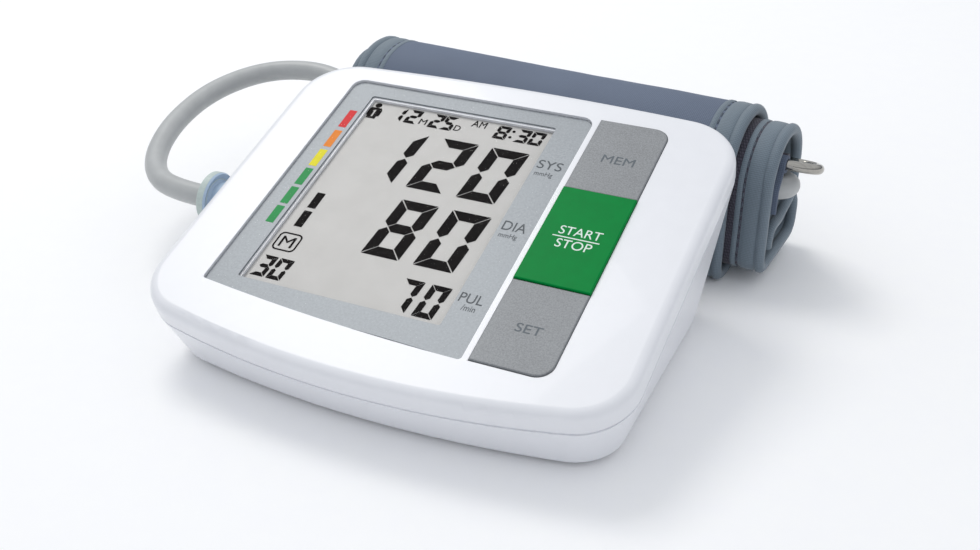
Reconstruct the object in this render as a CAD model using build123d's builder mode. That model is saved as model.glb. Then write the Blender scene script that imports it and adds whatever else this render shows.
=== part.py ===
"""Automatic upper-arm blood pressure monitor with its rolled cuff, hose and air plug.

Millimetres, +Z up, +X to the user's right, +Y to the rear.  The origin lies on the standing surface,
under the middle of the box round the monitor and the rolled cuff (hose and plug left aside).
"""
from build123d import *
from math import cos, pi, radians, sin, tan
import os

os.makedirs("parts", exist_ok=True)

# ------------------------------------------------------------------ driving dimensions
# case: a wedge whose top, the panel, slopes up to the rear
CASE_W = 152.0          # width
PANEL_D = 129.5         # depth along the slope
TILT = 17.4             # slope of the panel, degrees
FRONT_H = 22.3          # height of the panel's front edge above the standing surface
SPLIT = 7.5             # depth of the cover's side wall, from the panel to the parting line
FRONT_BOW = 10.0        # how far the front edge bulges
REAR_BOW = 3.0
FRONT_R = 18.0          # plan corner radii
REAR_R = 19.0
EDGE_R = 3.0            # rounding along the panel's edge
BASE_W = 140.0          # the underside is smaller than the panel
BASE_FRONT = 10.5       # its front and rear edge, from the panel's front edge
BASE_REAR = 111.0
BASE_BOW = 8.0
BASE_R = 15.0
BASE_EDGE_R = 4.0
WALL = 2.2
PANEL_T = 2.4
FLOOR_T = 2.2
GROOVE = 0.5            # chamfer on each shell at the parting line
RIM_H = 1.5             # rim of the bottom case that locates the cover
RIM_T = 1.0
RIM_ROOT = 2.0
POST_REACH = 60.0
FOOT_H = 1.0            # how far the rubber feet stand out
FIT = 0.15              # clearance between parts that locate each other
# window and display
WINDOW_W = 64.7
WINDOW_D = 85.7
WINDOW_X = -15.0        # middle of the window, from the middle of the case
WINDOW_FRONT = 25.8     # front edge of the window, up the slope from the panel's front edge
LENS_LEFT = 10.5        # borders of the lens round the window
LENS_RIGHT = 11.1
LENS_REAR = 7.6
LENS_FRONT = 8.6        # at the middle; the front edge follows the case's bow
LENS_T = 1.5
LENS_R = 4.0
LENS_RISE_LEFT = 4.2    # the bowed front edge's left and right ends
LENS_FALL_RIGHT = 1.6
LENS_FRONT_R = 1.2
GLASS_T = 2.0
GLASS_MARGIN = 3.0      # LCD glass beyond the window on each side
GLASS_DROP = 2.5        # panel's top to the glass
FRAME_RIM = 2.6         # carrier round the glass
FRAME_GAP = 0.3
SHELF_W = 2.2
ZEBRA_W = 2.0
WINDOW_EASE = 0.5       # hole in the cover beyond the printed window
REFLECTOR_T = 0.8
BOARD_TOP = 9.6         # panel's top to the circuit board
BOARD_T = 1.6
BOARD_W = 108.0
BOARD_FRONT = 14.5
BOARD_REAR = 122.6
# keys, one column
KEY_X = 42.1
KEY_W = 23.0
KEY_FRONT = 16.0        # up the slope
SET_D = 31.0
START_D = 39.3
MEM_D = 32.8
KEY_PROUD = 0.5
START_PROUD = 1.0
KEY_R = 5.0
KEY_TRAVEL = 0.35
KEY_LIP = 0.9           # retaining flange below the panel
KEY_FLANGE_T = 0.9
SWITCH_W = 6.2
SWITCH_H = 3.2
PLUNGER_R = 1.7
PLUNGER_H = 0.9
PLUNGER_SUNK = 0.3
STEM_R = 2.0
KEY_PLAY = 0.1
KEY_EDGE_R = 0.4
CHIP_AT = (-18.0, 76.0)
CHIP_W = 14.0
CHIP_T = 1.5
MEMORY_AT = (6.0, 84.0)
MEMORY_W = 5.0
MEMORY_D = 6.2
BUZZER_AT = (36.0, 30.0)
BUZZER_R = 6.0
BUZZER_T = 3.4
BUZZER_HOLE_R = 1.0
SENSOR_AT = (-44.0, 44.0)
# screws and posts
POST_R = 3.2
POST_DEPTH = 14.0       # panel's top to where the cover's posts meet the base's
FRONT_POST = (59.0, 20.0)
REAR_POST = (64.0, 88.0)
SCREW_R = 1.3
SCREW_HEAD_R = 2.6
SCREW_HEAD_T = 1.6
SCREW_BITE = 7.0
SCREW_WEB = 2.5         # bottom of the cover's post to the screw's head
BOARD_POST_LEFT = -46.0
BOARD_POST_RIGHT = 25.5
BOARD_POST_FRONT = 17.2
BOARD_POST_REAR = 120.0
BOARD_SCREW_L = 5.0
BOARD_POST_R = 2.4
BOARD_SCREW_R = 0.9
# battery compartment
CELL_R = 7.1
CELL_L = 50.5
TUB_W = 110.0
TUB_D = 31.6
TUB_FRONT = 73.5
TUB_H = 15.6            # inside height above the door
TUB_WALL = 1.5
DOOR_GAP = 0.35
FEET = [(-50.0, 27.0), (50.0, 27.0), (-61.5, 97.0), (61.5, 97.0)]
FOOT_R = 3.5
FOOT_SUNK = 1.0
DOOR_PLAY = 0.3
DOOR_LATCH_IN = 5.5
DOOR_GRIP_W = 22.0
DOOR_GRIP_D = 6.0
DOOR_GRIP_DEEP = 0.8
CELL_PLAY = 0.3         # between cells, and round them
NUB_R = 2.6
NUB_T = 1.2
PLATE_W = 9.0
PLATE_T = 0.4
SPRING_R = 3.4
SPRING_PITCH = 1.1
SPRING_WIRE_R = 0.4
BOARD_SCREW_HEAD_T = 1.0
# pump, valve and air path
PUMP_X = 46.0           # closed end of the motor
PUMP_Y = 57.0
PUMP_Z = 14.4
MOTOR_R = 10.0
MOTOR_L = 26.0
HEAD_W = 21.0
HEAD_L = 20.0
HEAD_CORNER_R = 3.0
DIAPHRAGM_T = 1.2
PUMP_CAP_T = 5.8
NOZZLE_L = 4.0
CUSHION_T = 1.2         # foam between the pump and its cradle
CRADLE_INSET = 5.0
CRADLE_H = 4.0
SHAFT_R = 1.0
SHAFT_GAP = 0.05
CAVITY_R = 7.6
ECCENTRIC_R = 4.0
ECCENTRIC_OFF = 1.6
ECCENTRIC_T = 4.0
TUBE_R = 2.2
TUBE_BORE = 1.2
TUBE_LEAD = 7.0         # straight run of a tube over its nozzle
TUBE_BEND_R = 5.0
SOCKET_Y = 64.0
SOCKET_Z = 29.0
SOCKET_R = 7.0
SOCKET_LIP = 2.2
SOCKET_BORE = 3.2
SOCKET_STANDOFF = 1.6   # flange's outer face beyond the case's side
SOCKET_FLANGE_T = 1.5
SOCKET_BODY_L = 9.5
SOCKET_L = 14.0
TEE_X = -27.0           # branch fitting in the air path
TEE_L = 12.0
TEE_R = 3.0
HOUSING_WALL = 1.6
DIAPHRAGM_HUB_R = 5.0
DIAPHRAGM_HUB_T = 1.2
VALVE_NOZZLE_L = 2.4
VALVE_PIN_R = 1.5
VALVE_PIN_OUT = 2.0
VALVE_PIN_SUNK = 4.0
VALVE_PIN_Z = 9.0
VALVE_TRAVEL = 0.8
VALVE_W = 12.0
VALVE_Y = 38.0
VALVE_H = 14.0
SENSOR_W = 8.0
SENSOR_T = 4.0
JACK_Y = 80.0
JACK_Z = 24.0
JACK_R = 4.6
JACK_X = -73.2          # mouth of the power jack
JACK_L = 12.0
JACK_BORE = 2.8
JACK_PIN_R = 0.9
# cuff, rolled up behind the case; b is rearwards across the roll, z up
ROLL_Y = 153.0          # the roll's axis behind the panel's front edge, at the middle of the case
YAW = 4.0               # the roll's right end sits closer to the case
ROLL_W = 44.0           # across the outer turn
ROLL_H = 56.0
COVER_T = 1.5
LINING_T = 1.5
TAPE_T = 0.3
TURN_GAP = 1.2
TOP_R = 19.5            # centreline radii of the outer turn
BOTTOM_R = 5.0
INNER_BOTTOM_R = 4.5    # and of the inner turn's two bottom folds
FLAP_START = 13.0       # free end, rearward of the roll's axis
FOLD_Z = 22.0           # the inner end folds across the core here
FOLD_MIDDLE = 1.0
FOLD_LOW = 18.0
FOLD_R = 7.0
FOLD_TOP_R = 4.0
TAIL_B = -8.5
TAIL_RISE = 0.5
TAIL_GAP = 0.8
TAIL_R = 4.2
HOOK_W = 100.0
HOOK_D = 16.0
FLAP_LEFT = -75.0       # ends of the outer turn along the roll
FLAP_RIGHT = 71.5
BODY_LEFT = -80.0       # ends of the inner turn, which is wider
BODY_RIGHT = 84.5
TAPE_W = 11.0
BLADDER_T = 0.9
BLADDER_INSET = 15.0
BLADDER_SHORT = 8.0
HOOK_T = 0.8
RING_WIRE_R = 1.75
RING_BAR_GAP = 13.0     # between the ring's two bars
RING_LEFT = -68.5
RING_RIGHT = 96.5
RING_TILT = -20.0
RING_CENTRE = (-0.7, 39.8)
TUNNEL_T = 1.2
TUNNEL_GAP = 0.08
SLEEVE_T = 0.9
SLEEVE_RIGHT = 83.0
TUNNEL_LEFT = -58.0
TUNNEL_RIGHT = 86.0
STRAP_LOW = 15.0        # strap below the bar, sewn to the roll's front wall
STRAP_HIGH = 7.0
STRAP_MEET = 1.7
# hose and plug
HOSE_R = 3.75
PLUG_DISC_R = 9.0
PORT_R = 4.2
PORT_L = 16.0
PORT_FLANGE_R = 4.0
PORT_FLANGE_T = 1.4
PORT_FLANGE_SUNK = 0.5
PORT_NECK_R = 3.2
PORT_Z = 31.1
PORT_GAP = 0.3
PLUG_GAP = 0.3
PLUG_NOSE_R = 3.15
PLUG_NOSE_L = 8.0
PLUG_DISC_T = 2.6
PLUG_GRIP_R = 6.0
PLUG_EDGE = 0.5
PLUG_CUP = 0.8          # hollow in the disc's inner face
PLUG_END = -86.2        # where the hose starts
SEAL_X = -74.0
SEAL_W = 1.6
SEAL_DEEP = 0.7
PORT_A = -36.0          # where the hose meets the port, along the roll

# ------------------------------------------------------------------ derived places
ST, CT = sin(radians(TILT)), cos(radians(TILT))
SY, CY = sin(radians(YAW)), cos(radians(YAW))
LEFT_END = BODY_LEFT * CY - (ROLL_W / 2 - COVER_T - LINING_T - TURN_GAP) * SY
RIGHT_END = RING_RIGHT * CY + RING_CENTRE[0] * SY
FRONT_END = EDGE_R * (CT + ST - 1)
REAR_END = ROLL_Y - FLAP_LEFT * SY + ROLL_W / 2 * CY
CASE_X = -(min(LEFT_END, -CASE_W / 2) + RIGHT_END) / 2
CASE_Y = -(FRONT_END + REAR_END) / 2
GROUND = Plane(origin=(CASE_X, CASE_Y, 0))
PANEL = Plane(origin=(CASE_X, CASE_Y, FRONT_H), x_dir=(1, 0, 0), z_dir=(0, -ST, CT))
NORMAL = Axis(PANEL.origin, PANEL.z_dir)
SIDE = Plane(origin=(CASE_X, CASE_Y, 0), x_dir=(0, 1, 0), z_dir=(1, 0, 0))
ROLL = Plane(origin=(CASE_X, CASE_Y + ROLL_Y, 0), x_dir=(SY, CY, 0), z_dir=(CY, -SY, 0))
WINDOW_REAR = WINDOW_FRONT + WINDOW_D
WINDOW_MIDDLE = (WINDOW_X, WINDOW_FRONT + WINDOW_D / 2)
GLASS_W = WINDOW_W + 2 * GLASS_MARGIN
GLASS_D = WINDOW_D + 2 * GLASS_MARGIN
WINDOW_LEFT = WINDOW_X - WINDOW_W / 2
WINDOW_RIGHT = WINDOW_X + WINDOW_W / 2
KEY_REAR = KEY_FRONT + SET_D + START_D + MEM_D
FLOOR_TOP = FOOT_H + FLOOR_T
TUB_Y = TUB_FRONT + TUB_D / 2


def outline(width, front, rear, front_bow, rear_bow, front_r, rear_r):
    """Plan outline of the case: bowed front and rear edges, straight sides, round corners."""
    half = width / 2
    with BuildSketch() as plan:
        with BuildLine():
            ThreePointArc((-half, front + front_bow), (0, front), (half, front + front_bow))
            Line((half, front + front_bow), (half, rear - rear_bow))
            ThreePointArc((half, rear - rear_bow), (0, rear), (-half, rear - rear_bow))
            Line((-half, rear - rear_bow), (-half, front + front_bow))
        make_face()
        fillet(plan.vertices().group_by(Axis.Y)[0], front_r)
        fillet(plan.vertices().group_by(Axis.Y)[-1], rear_r)
    return plan.sketch


def top_outline(inset):
    """The case's outline in the panel's plane, drawn in by inset."""
    return outline(
        CASE_W - 2 * inset, inset, PANEL_D - inset, FRONT_BOW, REAR_BOW, FRONT_R - inset, REAR_R - inset
    )


def base_outline(inset):
    """The underside's outline, drawn in by inset."""
    return outline(
        BASE_W - 2 * inset,
        BASE_FRONT + inset,
        BASE_REAR - inset,
        BASE_BOW,
        REAR_BOW,
        BASE_R - inset,
        BASE_R - inset,
    )


def lens_outline(gap):
    """Outline of the lens with its bowed front edge, grown by gap."""
    left = WINDOW_LEFT - LENS_LEFT - gap
    right = WINDOW_RIGHT + LENS_RIGHT + gap
    front = WINDOW_FRONT - LENS_FRONT - gap
    rear = WINDOW_REAR + LENS_REAR + gap
    with BuildSketch() as plan:
        with BuildLine():
            Line((right, rear), (left, rear))
            Line((left, rear), (left, front + LENS_RISE_LEFT))
            ThreePointArc(
                (left, front + LENS_RISE_LEFT), (WINDOW_X, front), (right, front - LENS_FALL_RIGHT)
            )
            Line((right, front - LENS_FALL_RIGHT), (right, rear))
        make_face()
        fillet(plan.vertices().group_by(Axis.Y)[-1], LENS_R)
        fillet(plan.vertices().group_by(Axis.X)[-1].sort_by(Axis.Y)[0], LENS_FRONT_R)
        fillet(plan.vertices().group_by(Axis.X)[0].sort_by(Axis.Y)[0], LENS_FRONT_R)
    return plan.sketch


def key_outline(front, depth, grow, front_r, rear_r):
    """Outline of one key, or of a slot for it, with round outer corners on its right."""
    with BuildSketch() as plan:
        with Locations((KEY_X, front + depth / 2)):
            Rectangle(KEY_W + 2 * grow, depth + 2 * grow)
        right_side = plan.vertices().group_by(Axis.X)[-1].sort_by(Axis.Y)
        if front_r:
            fillet(right_side[0], front_r)
        if rear_r:
            fillet(plan.vertices().group_by(Axis.Y)[-1].sort_by(Axis.X)[-1], rear_r)
    return plan.sketch


CASE_POSTS = [(x * side, v) for x, v in (FRONT_POST, REAR_POST) for side in (-1, 1)]
BOARD_POSTS = [
    (x, v) for x in (BOARD_POST_LEFT, BOARD_POST_RIGHT) for v in (BOARD_POST_FRONT, BOARD_POST_REAR)
]


# ------------------------------------------------------------------ casing
with BuildPart() as top_cover:
    with BuildSketch(PANEL.offset(-SPLIT)):
        add(top_outline(0))
    extrude(amount=SPLIT)
    fillet(top_cover.faces().sort_by(NORMAL)[-1].edges(), EDGE_R)
    chamfer(top_cover.faces().sort_by(NORMAL)[0].edges(), GROOVE)
    with BuildSketch(PANEL.offset(-SPLIT)):
        add(top_outline(WALL))
    extrude(amount=SPLIT - PANEL_T, mode=Mode.SUBTRACT)
    # posts that take the case screws and carry the board
    with BuildSketch(PANEL.offset(-POST_DEPTH)):
        with Locations(*CASE_POSTS):
            Circle(POST_R)
    extrude(amount=POST_DEPTH - PANEL_T)
    with BuildSketch(PANEL.offset(-POST_DEPTH)):
        with Locations(*CASE_POSTS):
            Circle(SCREW_R)
    extrude(amount=SCREW_BITE + 0.5, mode=Mode.SUBTRACT)
    with BuildSketch(PANEL.offset(-BOARD_TOP)):
        with Locations(*BOARD_POSTS):
            Circle(BOARD_POST_R)
    extrude(amount=BOARD_TOP - PANEL_T)
    with BuildSketch(PANEL.offset(-BOARD_TOP)):
        with Locations(*BOARD_POSTS):
            Circle(BOARD_SCREW_R)
    extrude(amount=BOARD_SCREW_L, mode=Mode.SUBTRACT)
    # recess for the lens, window through it, slot for the keys
    with BuildSketch(PANEL.offset(-LENS_T)):
        add(lens_outline(FIT))
    extrude(amount=LENS_T, mode=Mode.SUBTRACT)
    with BuildSketch(PANEL.offset(-PANEL_T)):
        with Locations(WINDOW_MIDDLE):
            Rectangle(WINDOW_W + 2 * WINDOW_EASE, WINDOW_D + 2 * WINDOW_EASE)
    extrude(amount=PANEL_T, mode=Mode.SUBTRACT)
    with BuildSketch(PANEL.offset(-PANEL_T)):
        add(key_outline(KEY_FRONT, KEY_REAR - KEY_FRONT, FIT, KEY_R + FIT, KEY_R + FIT))
    extrude(amount=PANEL_T, mode=Mode.SUBTRACT)
top_cover.part.label = "top_cover"
export_step(top_cover.part, "parts/top_cover.step")

# solids that the bottom case is made from: its outer body and the room inside it
with BuildPart() as base_body:
    with BuildSketch(PANEL.offset(-SPLIT)):
        add(top_outline(0))
    with BuildSketch(GROUND.offset(FOOT_H)):
        add(base_outline(0))
    loft(ruled=True)
    fillet(base_body.faces().sort_by(Axis.Z)[0].edges(), BASE_EDGE_R)

with BuildPart() as base_hollow:
    with BuildSketch(PANEL.offset(-SPLIT)):
        add(top_outline(WALL))
    with BuildSketch(GROUND.offset(FLOOR_TOP)):
        add(base_outline(WALL))
    loft(ruled=True)

with BuildPart() as base_fittings:
    with BuildSketch(PANEL.offset(-POST_DEPTH)):
        with Locations(*CASE_POSTS):
            Circle(POST_R)
    extrude(amount=-POST_REACH)
    # walls of the battery compartment and its roof
    with BuildSketch(GROUND.offset(FOOT_H)):
        with Locations((0, TUB_Y)):
            Rectangle(TUB_W + 2 * TUB_WALL, TUB_D + 2 * TUB_WALL)
    extrude(amount=FLOOR_T + TUB_H + TUB_WALL)
    # cradle under the pump
    with BuildSketch(SIDE.offset(PUMP_X - MOTOR_L + CRADLE_INSET)):
        with Locations((PUMP_Y, FLOOR_TOP + CRADLE_H / 2 - 0.5)):
            Rectangle(2 * MOTOR_R, CRADLE_H + 1.0)
        with Locations((PUMP_Y, PUMP_Z)):
            Circle(MOTOR_R + CUSHION_T, mode=Mode.SUBTRACT)
    extrude(amount=MOTOR_L - 2 * CRADLE_INSET)
    add(base_body.part, mode=Mode.INTERSECT)

with BuildPart() as bottom_case:
    add(base_body.part)
    add(base_hollow.part, mode=Mode.SUBTRACT)
    # rim that locates the cover, and the groove that the parting line shows
    with BuildSketch(PANEL.offset(-SPLIT - RIM_ROOT)):
        add(top_outline(WALL + FIT))
        add(top_outline(WALL + FIT + RIM_T), mode=Mode.SUBTRACT)
    extrude(amount=RIM_ROOT + RIM_H)
    with BuildSketch(PANEL.offset(-SPLIT)):
        add(top_outline(-GROOVE))
        add(top_outline(GROOVE), mode=Mode.SUBTRACT)
    extrude(amount=-GROOVE, mode=Mode.SUBTRACT)
    add(base_fittings.part)
    # room for the cells and the mouth that the door closes
    with BuildSketch(GROUND):
        with Locations((0, TUB_Y)):
            Rectangle(TUB_W, TUB_D)
    extrude(amount=FLOOR_TOP + TUB_H, mode=Mode.SUBTRACT)
    # screw holes up the posts, with room for the heads
    with BuildSketch(PANEL.offset(-POST_DEPTH)):
        with Locations(*CASE_POSTS):
            Circle(SCREW_R + FIT)
    extrude(amount=-POST_REACH, mode=Mode.SUBTRACT)
    for x, v in CASE_POSTS:
        with BuildSketch(PANEL.offset(-POST_DEPTH - SCREW_WEB)):
            with Locations((x, v)):
                Circle(SCREW_HEAD_R + FIT)
        extrude(amount=-POST_REACH, mode=Mode.SUBTRACT)
    # sockets for the feet
    with BuildSketch(GROUND.offset(FOOT_H)):
        with Locations(*FEET):
            Circle(FOOT_R)
    extrude(amount=FOOT_SUNK, mode=Mode.SUBTRACT)
    # holes in the left wall for the air socket and the power jack
    with BuildSketch(SIDE.offset(-CASE_W / 2 - 1.0)):
        with Locations((SOCKET_Y, SOCKET_Z)):
            Circle(SOCKET_R - SOCKET_LIP)
        with Locations((JACK_Y, JACK_Z)):
            Circle(JACK_R)
    extrude(amount=12.0, mode=Mode.SUBTRACT)
bottom_case.part.label = "bottom_case"
export_step(bottom_case.part, "parts/bottom_case.step")


# ------------------------------------------------------------------ display and keys
with BuildPart() as display_lens:
    with BuildSketch(PANEL.offset(-LENS_T)):
        add(lens_outline(0))
    extrude(amount=LENS_T)
display_lens.part.label = "display_lens"
export_step(display_lens.part, "parts/display_lens.step")

with BuildPart() as lcd_glass:
    with BuildSketch(PANEL.offset(-GLASS_DROP - GLASS_T)):
        with Locations(WINDOW_MIDDLE):
            Rectangle(GLASS_W, GLASS_D)
    extrude(amount=GLASS_T)
lcd_glass.part.label = "lcd_glass"
export_step(lcd_glass.part, "parts/lcd_glass.step")

with BuildPart() as lcd_reflector:
    with BuildSketch(PANEL.offset(-GLASS_DROP - GLASS_T - REFLECTOR_T)):
        with Locations(WINDOW_MIDDLE):
            Rectangle(WINDOW_W + 0.6, WINDOW_D + 0.6)
    extrude(amount=REFLECTOR_T)
lcd_reflector.part.label = "lcd_reflector"
export_step(lcd_reflector.part, "parts/lcd_reflector.step")

with BuildPart() as lcd_frame:
    with BuildSketch(PANEL.offset(-BOARD_TOP)):
        with Locations(WINDOW_MIDDLE):
            Rectangle(GLASS_W + 2 * (FIT + FRAME_RIM), GLASS_D + 2 * (FIT + FRAME_RIM))
            Rectangle(GLASS_W + 2 * FIT, GLASS_D + 2 * FIT, mode=Mode.SUBTRACT)
    extrude(amount=BOARD_TOP - PANEL_T - FRAME_GAP)
    # shelves that carry the glass at its sides
    with BuildSketch(PANEL.offset(-BOARD_TOP)):
        with Locations(WINDOW_MIDDLE):
            with Locations(*[(side * (GLASS_W / 2 + FIT - SHELF_W / 2), 0) for side in (-1, 1)]):
                Rectangle(SHELF_W, GLASS_D - 2 * SHELF_W)
    extrude(amount=BOARD_TOP - GLASS_DROP - GLASS_T)
lcd_frame.part.label = "lcd_frame"
export_step(lcd_frame.part, "parts/lcd_frame.step")

with BuildPart() as zebra_strips:
    with BuildSketch(PANEL.offset(-BOARD_TOP)):
        with Locations(WINDOW_MIDDLE):
            with GridLocations(0, GLASS_D - ZEBRA_W, 1, 2):
                Rectangle(GLASS_W - 4 * ZEBRA_W, ZEBRA_W)
    extrude(amount=BOARD_TOP - GLASS_DROP - GLASS_T)
zebra_strips.part.label = "zebra_strips"
export_step(zebra_strips.part, "parts/zebra_strips.step")

with BuildPart() as circuit_board:
    with BuildSketch(PANEL.offset(-BOARD_TOP - BOARD_T)):
        with Locations((0, (BOARD_FRONT + BOARD_REAR) / 2)):
            Rectangle(BOARD_W, BOARD_REAR - BOARD_FRONT)
        with Locations(*BOARD_POSTS):
            Circle(BOARD_SCREW_R + FIT, mode=Mode.SUBTRACT)
    extrude(amount=BOARD_T)
circuit_board.part.label = "circuit_board"
export_step(circuit_board.part, "parts/circuit_board.step")

KEYS = {
    "set": (KEY_FRONT, SET_D, KEY_PROUD, KEY_R, 0),
    "start_stop": (KEY_FRONT + SET_D, START_D, START_PROUD, 0, 0),
    "memory": (KEY_FRONT + SET_D + START_D, MEM_D, KEY_PROUD, 0, KEY_R),
}
PLUNGER_TOP = -BOARD_TOP + SWITCH_H + PLUNGER_H
for name, (front, depth, proud, front_r, rear_r) in KEYS.items():
    middle = (KEY_X, front + depth / 2)
    with BuildPart() as key:
        with BuildSketch(PANEL.offset(-PANEL_T - KEY_PLAY)):
            add(key_outline(front + KEY_PLAY, depth - 2 * KEY_PLAY, 0, front_r, rear_r))
        extrude(amount=PANEL_T + KEY_PLAY + proud)
        fillet(key.faces().sort_by(NORMAL)[-1].edges(), KEY_EDGE_R)
        # flange that the panel holds back, and the stem down to the switch
        with BuildSketch(PANEL.offset(-PANEL_T - KEY_PLAY - KEY_FLANGE_T)):
            with Locations(middle):
                Rectangle(KEY_W + 2 * KEY_LIP, depth - 2 * KEY_PLAY)
        extrude(amount=KEY_FLANGE_T)
        with BuildSketch(PANEL.offset(PLUNGER_TOP)):
            with Locations(middle):
                Circle(STEM_R)
        extrude(amount=-PLUNGER_TOP - PANEL_T - KEY_PLAY)
    key.part.label = f"{name}_key"
    export_step(key.part, f"parts/{name}_key.step")
    with BuildPart() as plunger:
        with BuildSketch(PANEL.offset(PLUNGER_TOP - PLUNGER_H - PLUNGER_SUNK)):
            with Locations(middle):
                Circle(PLUNGER_R)
        extrude(amount=PLUNGER_H + PLUNGER_SUNK)
    plunger.part.label = f"{name}_plunger"
    export_step(plunger.part, f"parts/{name}_plunger.step")

KEY_MIDDLES = [(KEY_X, front + depth / 2) for front, depth, *_ in KEYS.values()]
with BuildPart() as key_switches:
    with BuildSketch(PANEL.offset(-BOARD_TOP)):
        with Locations(*KEY_MIDDLES):
            Rectangle(SWITCH_W, SWITCH_W)
    extrude(amount=SWITCH_H)
    with BuildSketch(PANEL.offset(-BOARD_TOP + SWITCH_H)):
        with Locations(*KEY_MIDDLES):
            Circle(PLUNGER_R + SHAFT_GAP)
    extrude(amount=-PLUNGER_SUNK - KEY_TRAVEL - FIT, mode=Mode.SUBTRACT)
key_switches.part.label = "key_switches"
export_step(key_switches.part, "parts/key_switches.step")

# ------------------------------------------------------------------ electronics under the board
UNDER_BOARD = PANEL.offset(-BOARD_TOP - BOARD_T)
with BuildPart() as controller_chip:
    with BuildSketch(UNDER_BOARD):
        with Locations(CHIP_AT):
            Rectangle(CHIP_W, CHIP_W)
    extrude(amount=-CHIP_T)
controller_chip.part.label = "controller_chip"
export_step(controller_chip.part, "parts/controller_chip.step")

with BuildPart() as memory_chip:
    with BuildSketch(UNDER_BOARD):
        with Locations(MEMORY_AT):
            Rectangle(MEMORY_W, MEMORY_D)
    extrude(amount=-CHIP_T)
memory_chip.part.label = "memory_chip"
export_step(memory_chip.part, "parts/memory_chip.step")

with BuildPart() as buzzer:
    with BuildSketch(UNDER_BOARD):
        with Locations(BUZZER_AT):
            Circle(BUZZER_R)
    extrude(amount=-BUZZER_T)
    with BuildSketch(UNDER_BOARD.offset(-BUZZER_T)):
        with Locations(BUZZER_AT):
            Circle(BUZZER_HOLE_R)
    extrude(amount=1.5, mode=Mode.SUBTRACT)
buzzer.part.label = "buzzer"
export_step(buzzer.part, "parts/buzzer.step")

with BuildPart() as pressure_sensor:
    with BuildSketch(UNDER_BOARD):
        with Locations(SENSOR_AT):
            Rectangle(SENSOR_W, SENSOR_W)
    extrude(amount=-SENSOR_T)
    with BuildSketch(UNDER_BOARD.offset(-SENSOR_T)):
        with Locations(SENSOR_AT):
            Circle(TUBE_BORE)
    extrude(amount=-NOZZLE_L)
pressure_sensor.part.label = "pressure_sensor"
export_step(pressure_sensor.part, "parts/pressure_sensor.step")

# ------------------------------------------------------------------ pump, valve and air path
MOTOR_START = PUMP_X - MOTOR_L
HEAD_START = MOTOR_START - HEAD_L
with BuildPart() as pump_motor:
    with BuildSketch(SIDE.offset(MOTOR_START)):
        with Locations((PUMP_Y, PUMP_Z)):
            Circle(MOTOR_R)
    extrude(amount=MOTOR_L)
    chamfer(pump_motor.edges().filter_by(GeomType.CIRCLE), 0.8)
    with BuildSketch(SIDE.offset(MOTOR_START)):
        with Locations((PUMP_Y, PUMP_Z)):
            Circle(SHAFT_R + SHAFT_GAP)
    extrude(amount=MOTOR_L - 2.0, mode=Mode.SUBTRACT)
pump_motor.part.label = "pump_motor"
export_step(pump_motor.part, "parts/pump_motor.step")

with BuildPart() as pump_cushion:
    with BuildSketch(SIDE.offset(MOTOR_START + CRADLE_INSET)):
        with Locations((PUMP_Y, PUMP_Z)):
            Circle(MOTOR_R + CUSHION_T)
            Circle(MOTOR_R, mode=Mode.SUBTRACT)
    extrude(amount=MOTOR_L - 2 * CRADLE_INSET)
pump_cushion.part.label = "pump_cushion"
export_step(pump_cushion.part, "parts/pump_cushion.step")

HOUSING_L = HEAD_L - PUMP_CAP_T - DIAPHRAGM_T
with BuildPart() as pump_housing:
    with BuildSketch(SIDE.offset(MOTOR_START - HOUSING_L)):
        with Locations((PUMP_Y, PUMP_Z)):
            RectangleRounded(HEAD_W, HEAD_W, HEAD_CORNER_R)
            Circle(CAVITY_R, mode=Mode.SUBTRACT)
    extrude(amount=HOUSING_L - HOUSING_WALL)
    with BuildSketch(SIDE.offset(MOTOR_START - HOUSING_WALL)):
        with Locations((PUMP_Y, PUMP_Z)):
            RectangleRounded(HEAD_W, HEAD_W, HEAD_CORNER_R)
            Circle(SHAFT_R + SHAFT_GAP, mode=Mode.SUBTRACT)
    extrude(amount=HOUSING_WALL)
pump_housing.part.label = "pump_housing"
export_step(pump_housing.part, "parts/pump_housing.step")

with BuildPart() as pump_diaphragm:
    with BuildSketch(SIDE.offset(HEAD_START + PUMP_CAP_T)):
        with Locations((PUMP_Y, PUMP_Z)):
            RectangleRounded(HEAD_W, HEAD_W, HEAD_CORNER_R)
    extrude(amount=DIAPHRAGM_T)
    with BuildSketch(SIDE.offset(HEAD_START + PUMP_CAP_T + DIAPHRAGM_T)):
        with Locations((PUMP_Y, PUMP_Z)):
            Circle(DIAPHRAGM_HUB_R)
    extrude(amount=DIAPHRAGM_HUB_T)
pump_diaphragm.part.label = "pump_diaphragm"
export_step(pump_diaphragm.part, "parts/pump_diaphragm.step")

with BuildPart() as pump_cap:
    with BuildSketch(SIDE.offset(HEAD_START)):
        with Locations((PUMP_Y, PUMP_Z)):
            RectangleRounded(HEAD_W, HEAD_W, HEAD_CORNER_R)
    extrude(amount=PUMP_CAP_T)
    fillet(pump_cap.faces().sort_by(Axis.X)[0].edges(), 1.0)
    with BuildSketch(SIDE.offset(HEAD_START)):
        with Locations((PUMP_Y, PUMP_Z)):
            Circle(TUBE_BORE)
    extrude(amount=-NOZZLE_L)
pump_cap.part.label = "pump_cap"
export_step(pump_cap.part, "parts/pump_cap.step")

SHAFT_START = MOTOR_START - HOUSING_WALL - ECCENTRIC_T - 1.0
with BuildPart() as pump_shaft:
    with BuildSketch(SIDE.offset(SHAFT_START)):
        with Locations((PUMP_Y, PUMP_Z)):
            Circle(SHAFT_R)
    extrude(amount=PUMP_X - 3.0 - SHAFT_START)
pump_shaft.part.label = "pump_shaft"
export_step(pump_shaft.part, "parts/pump_shaft.step")

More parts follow.
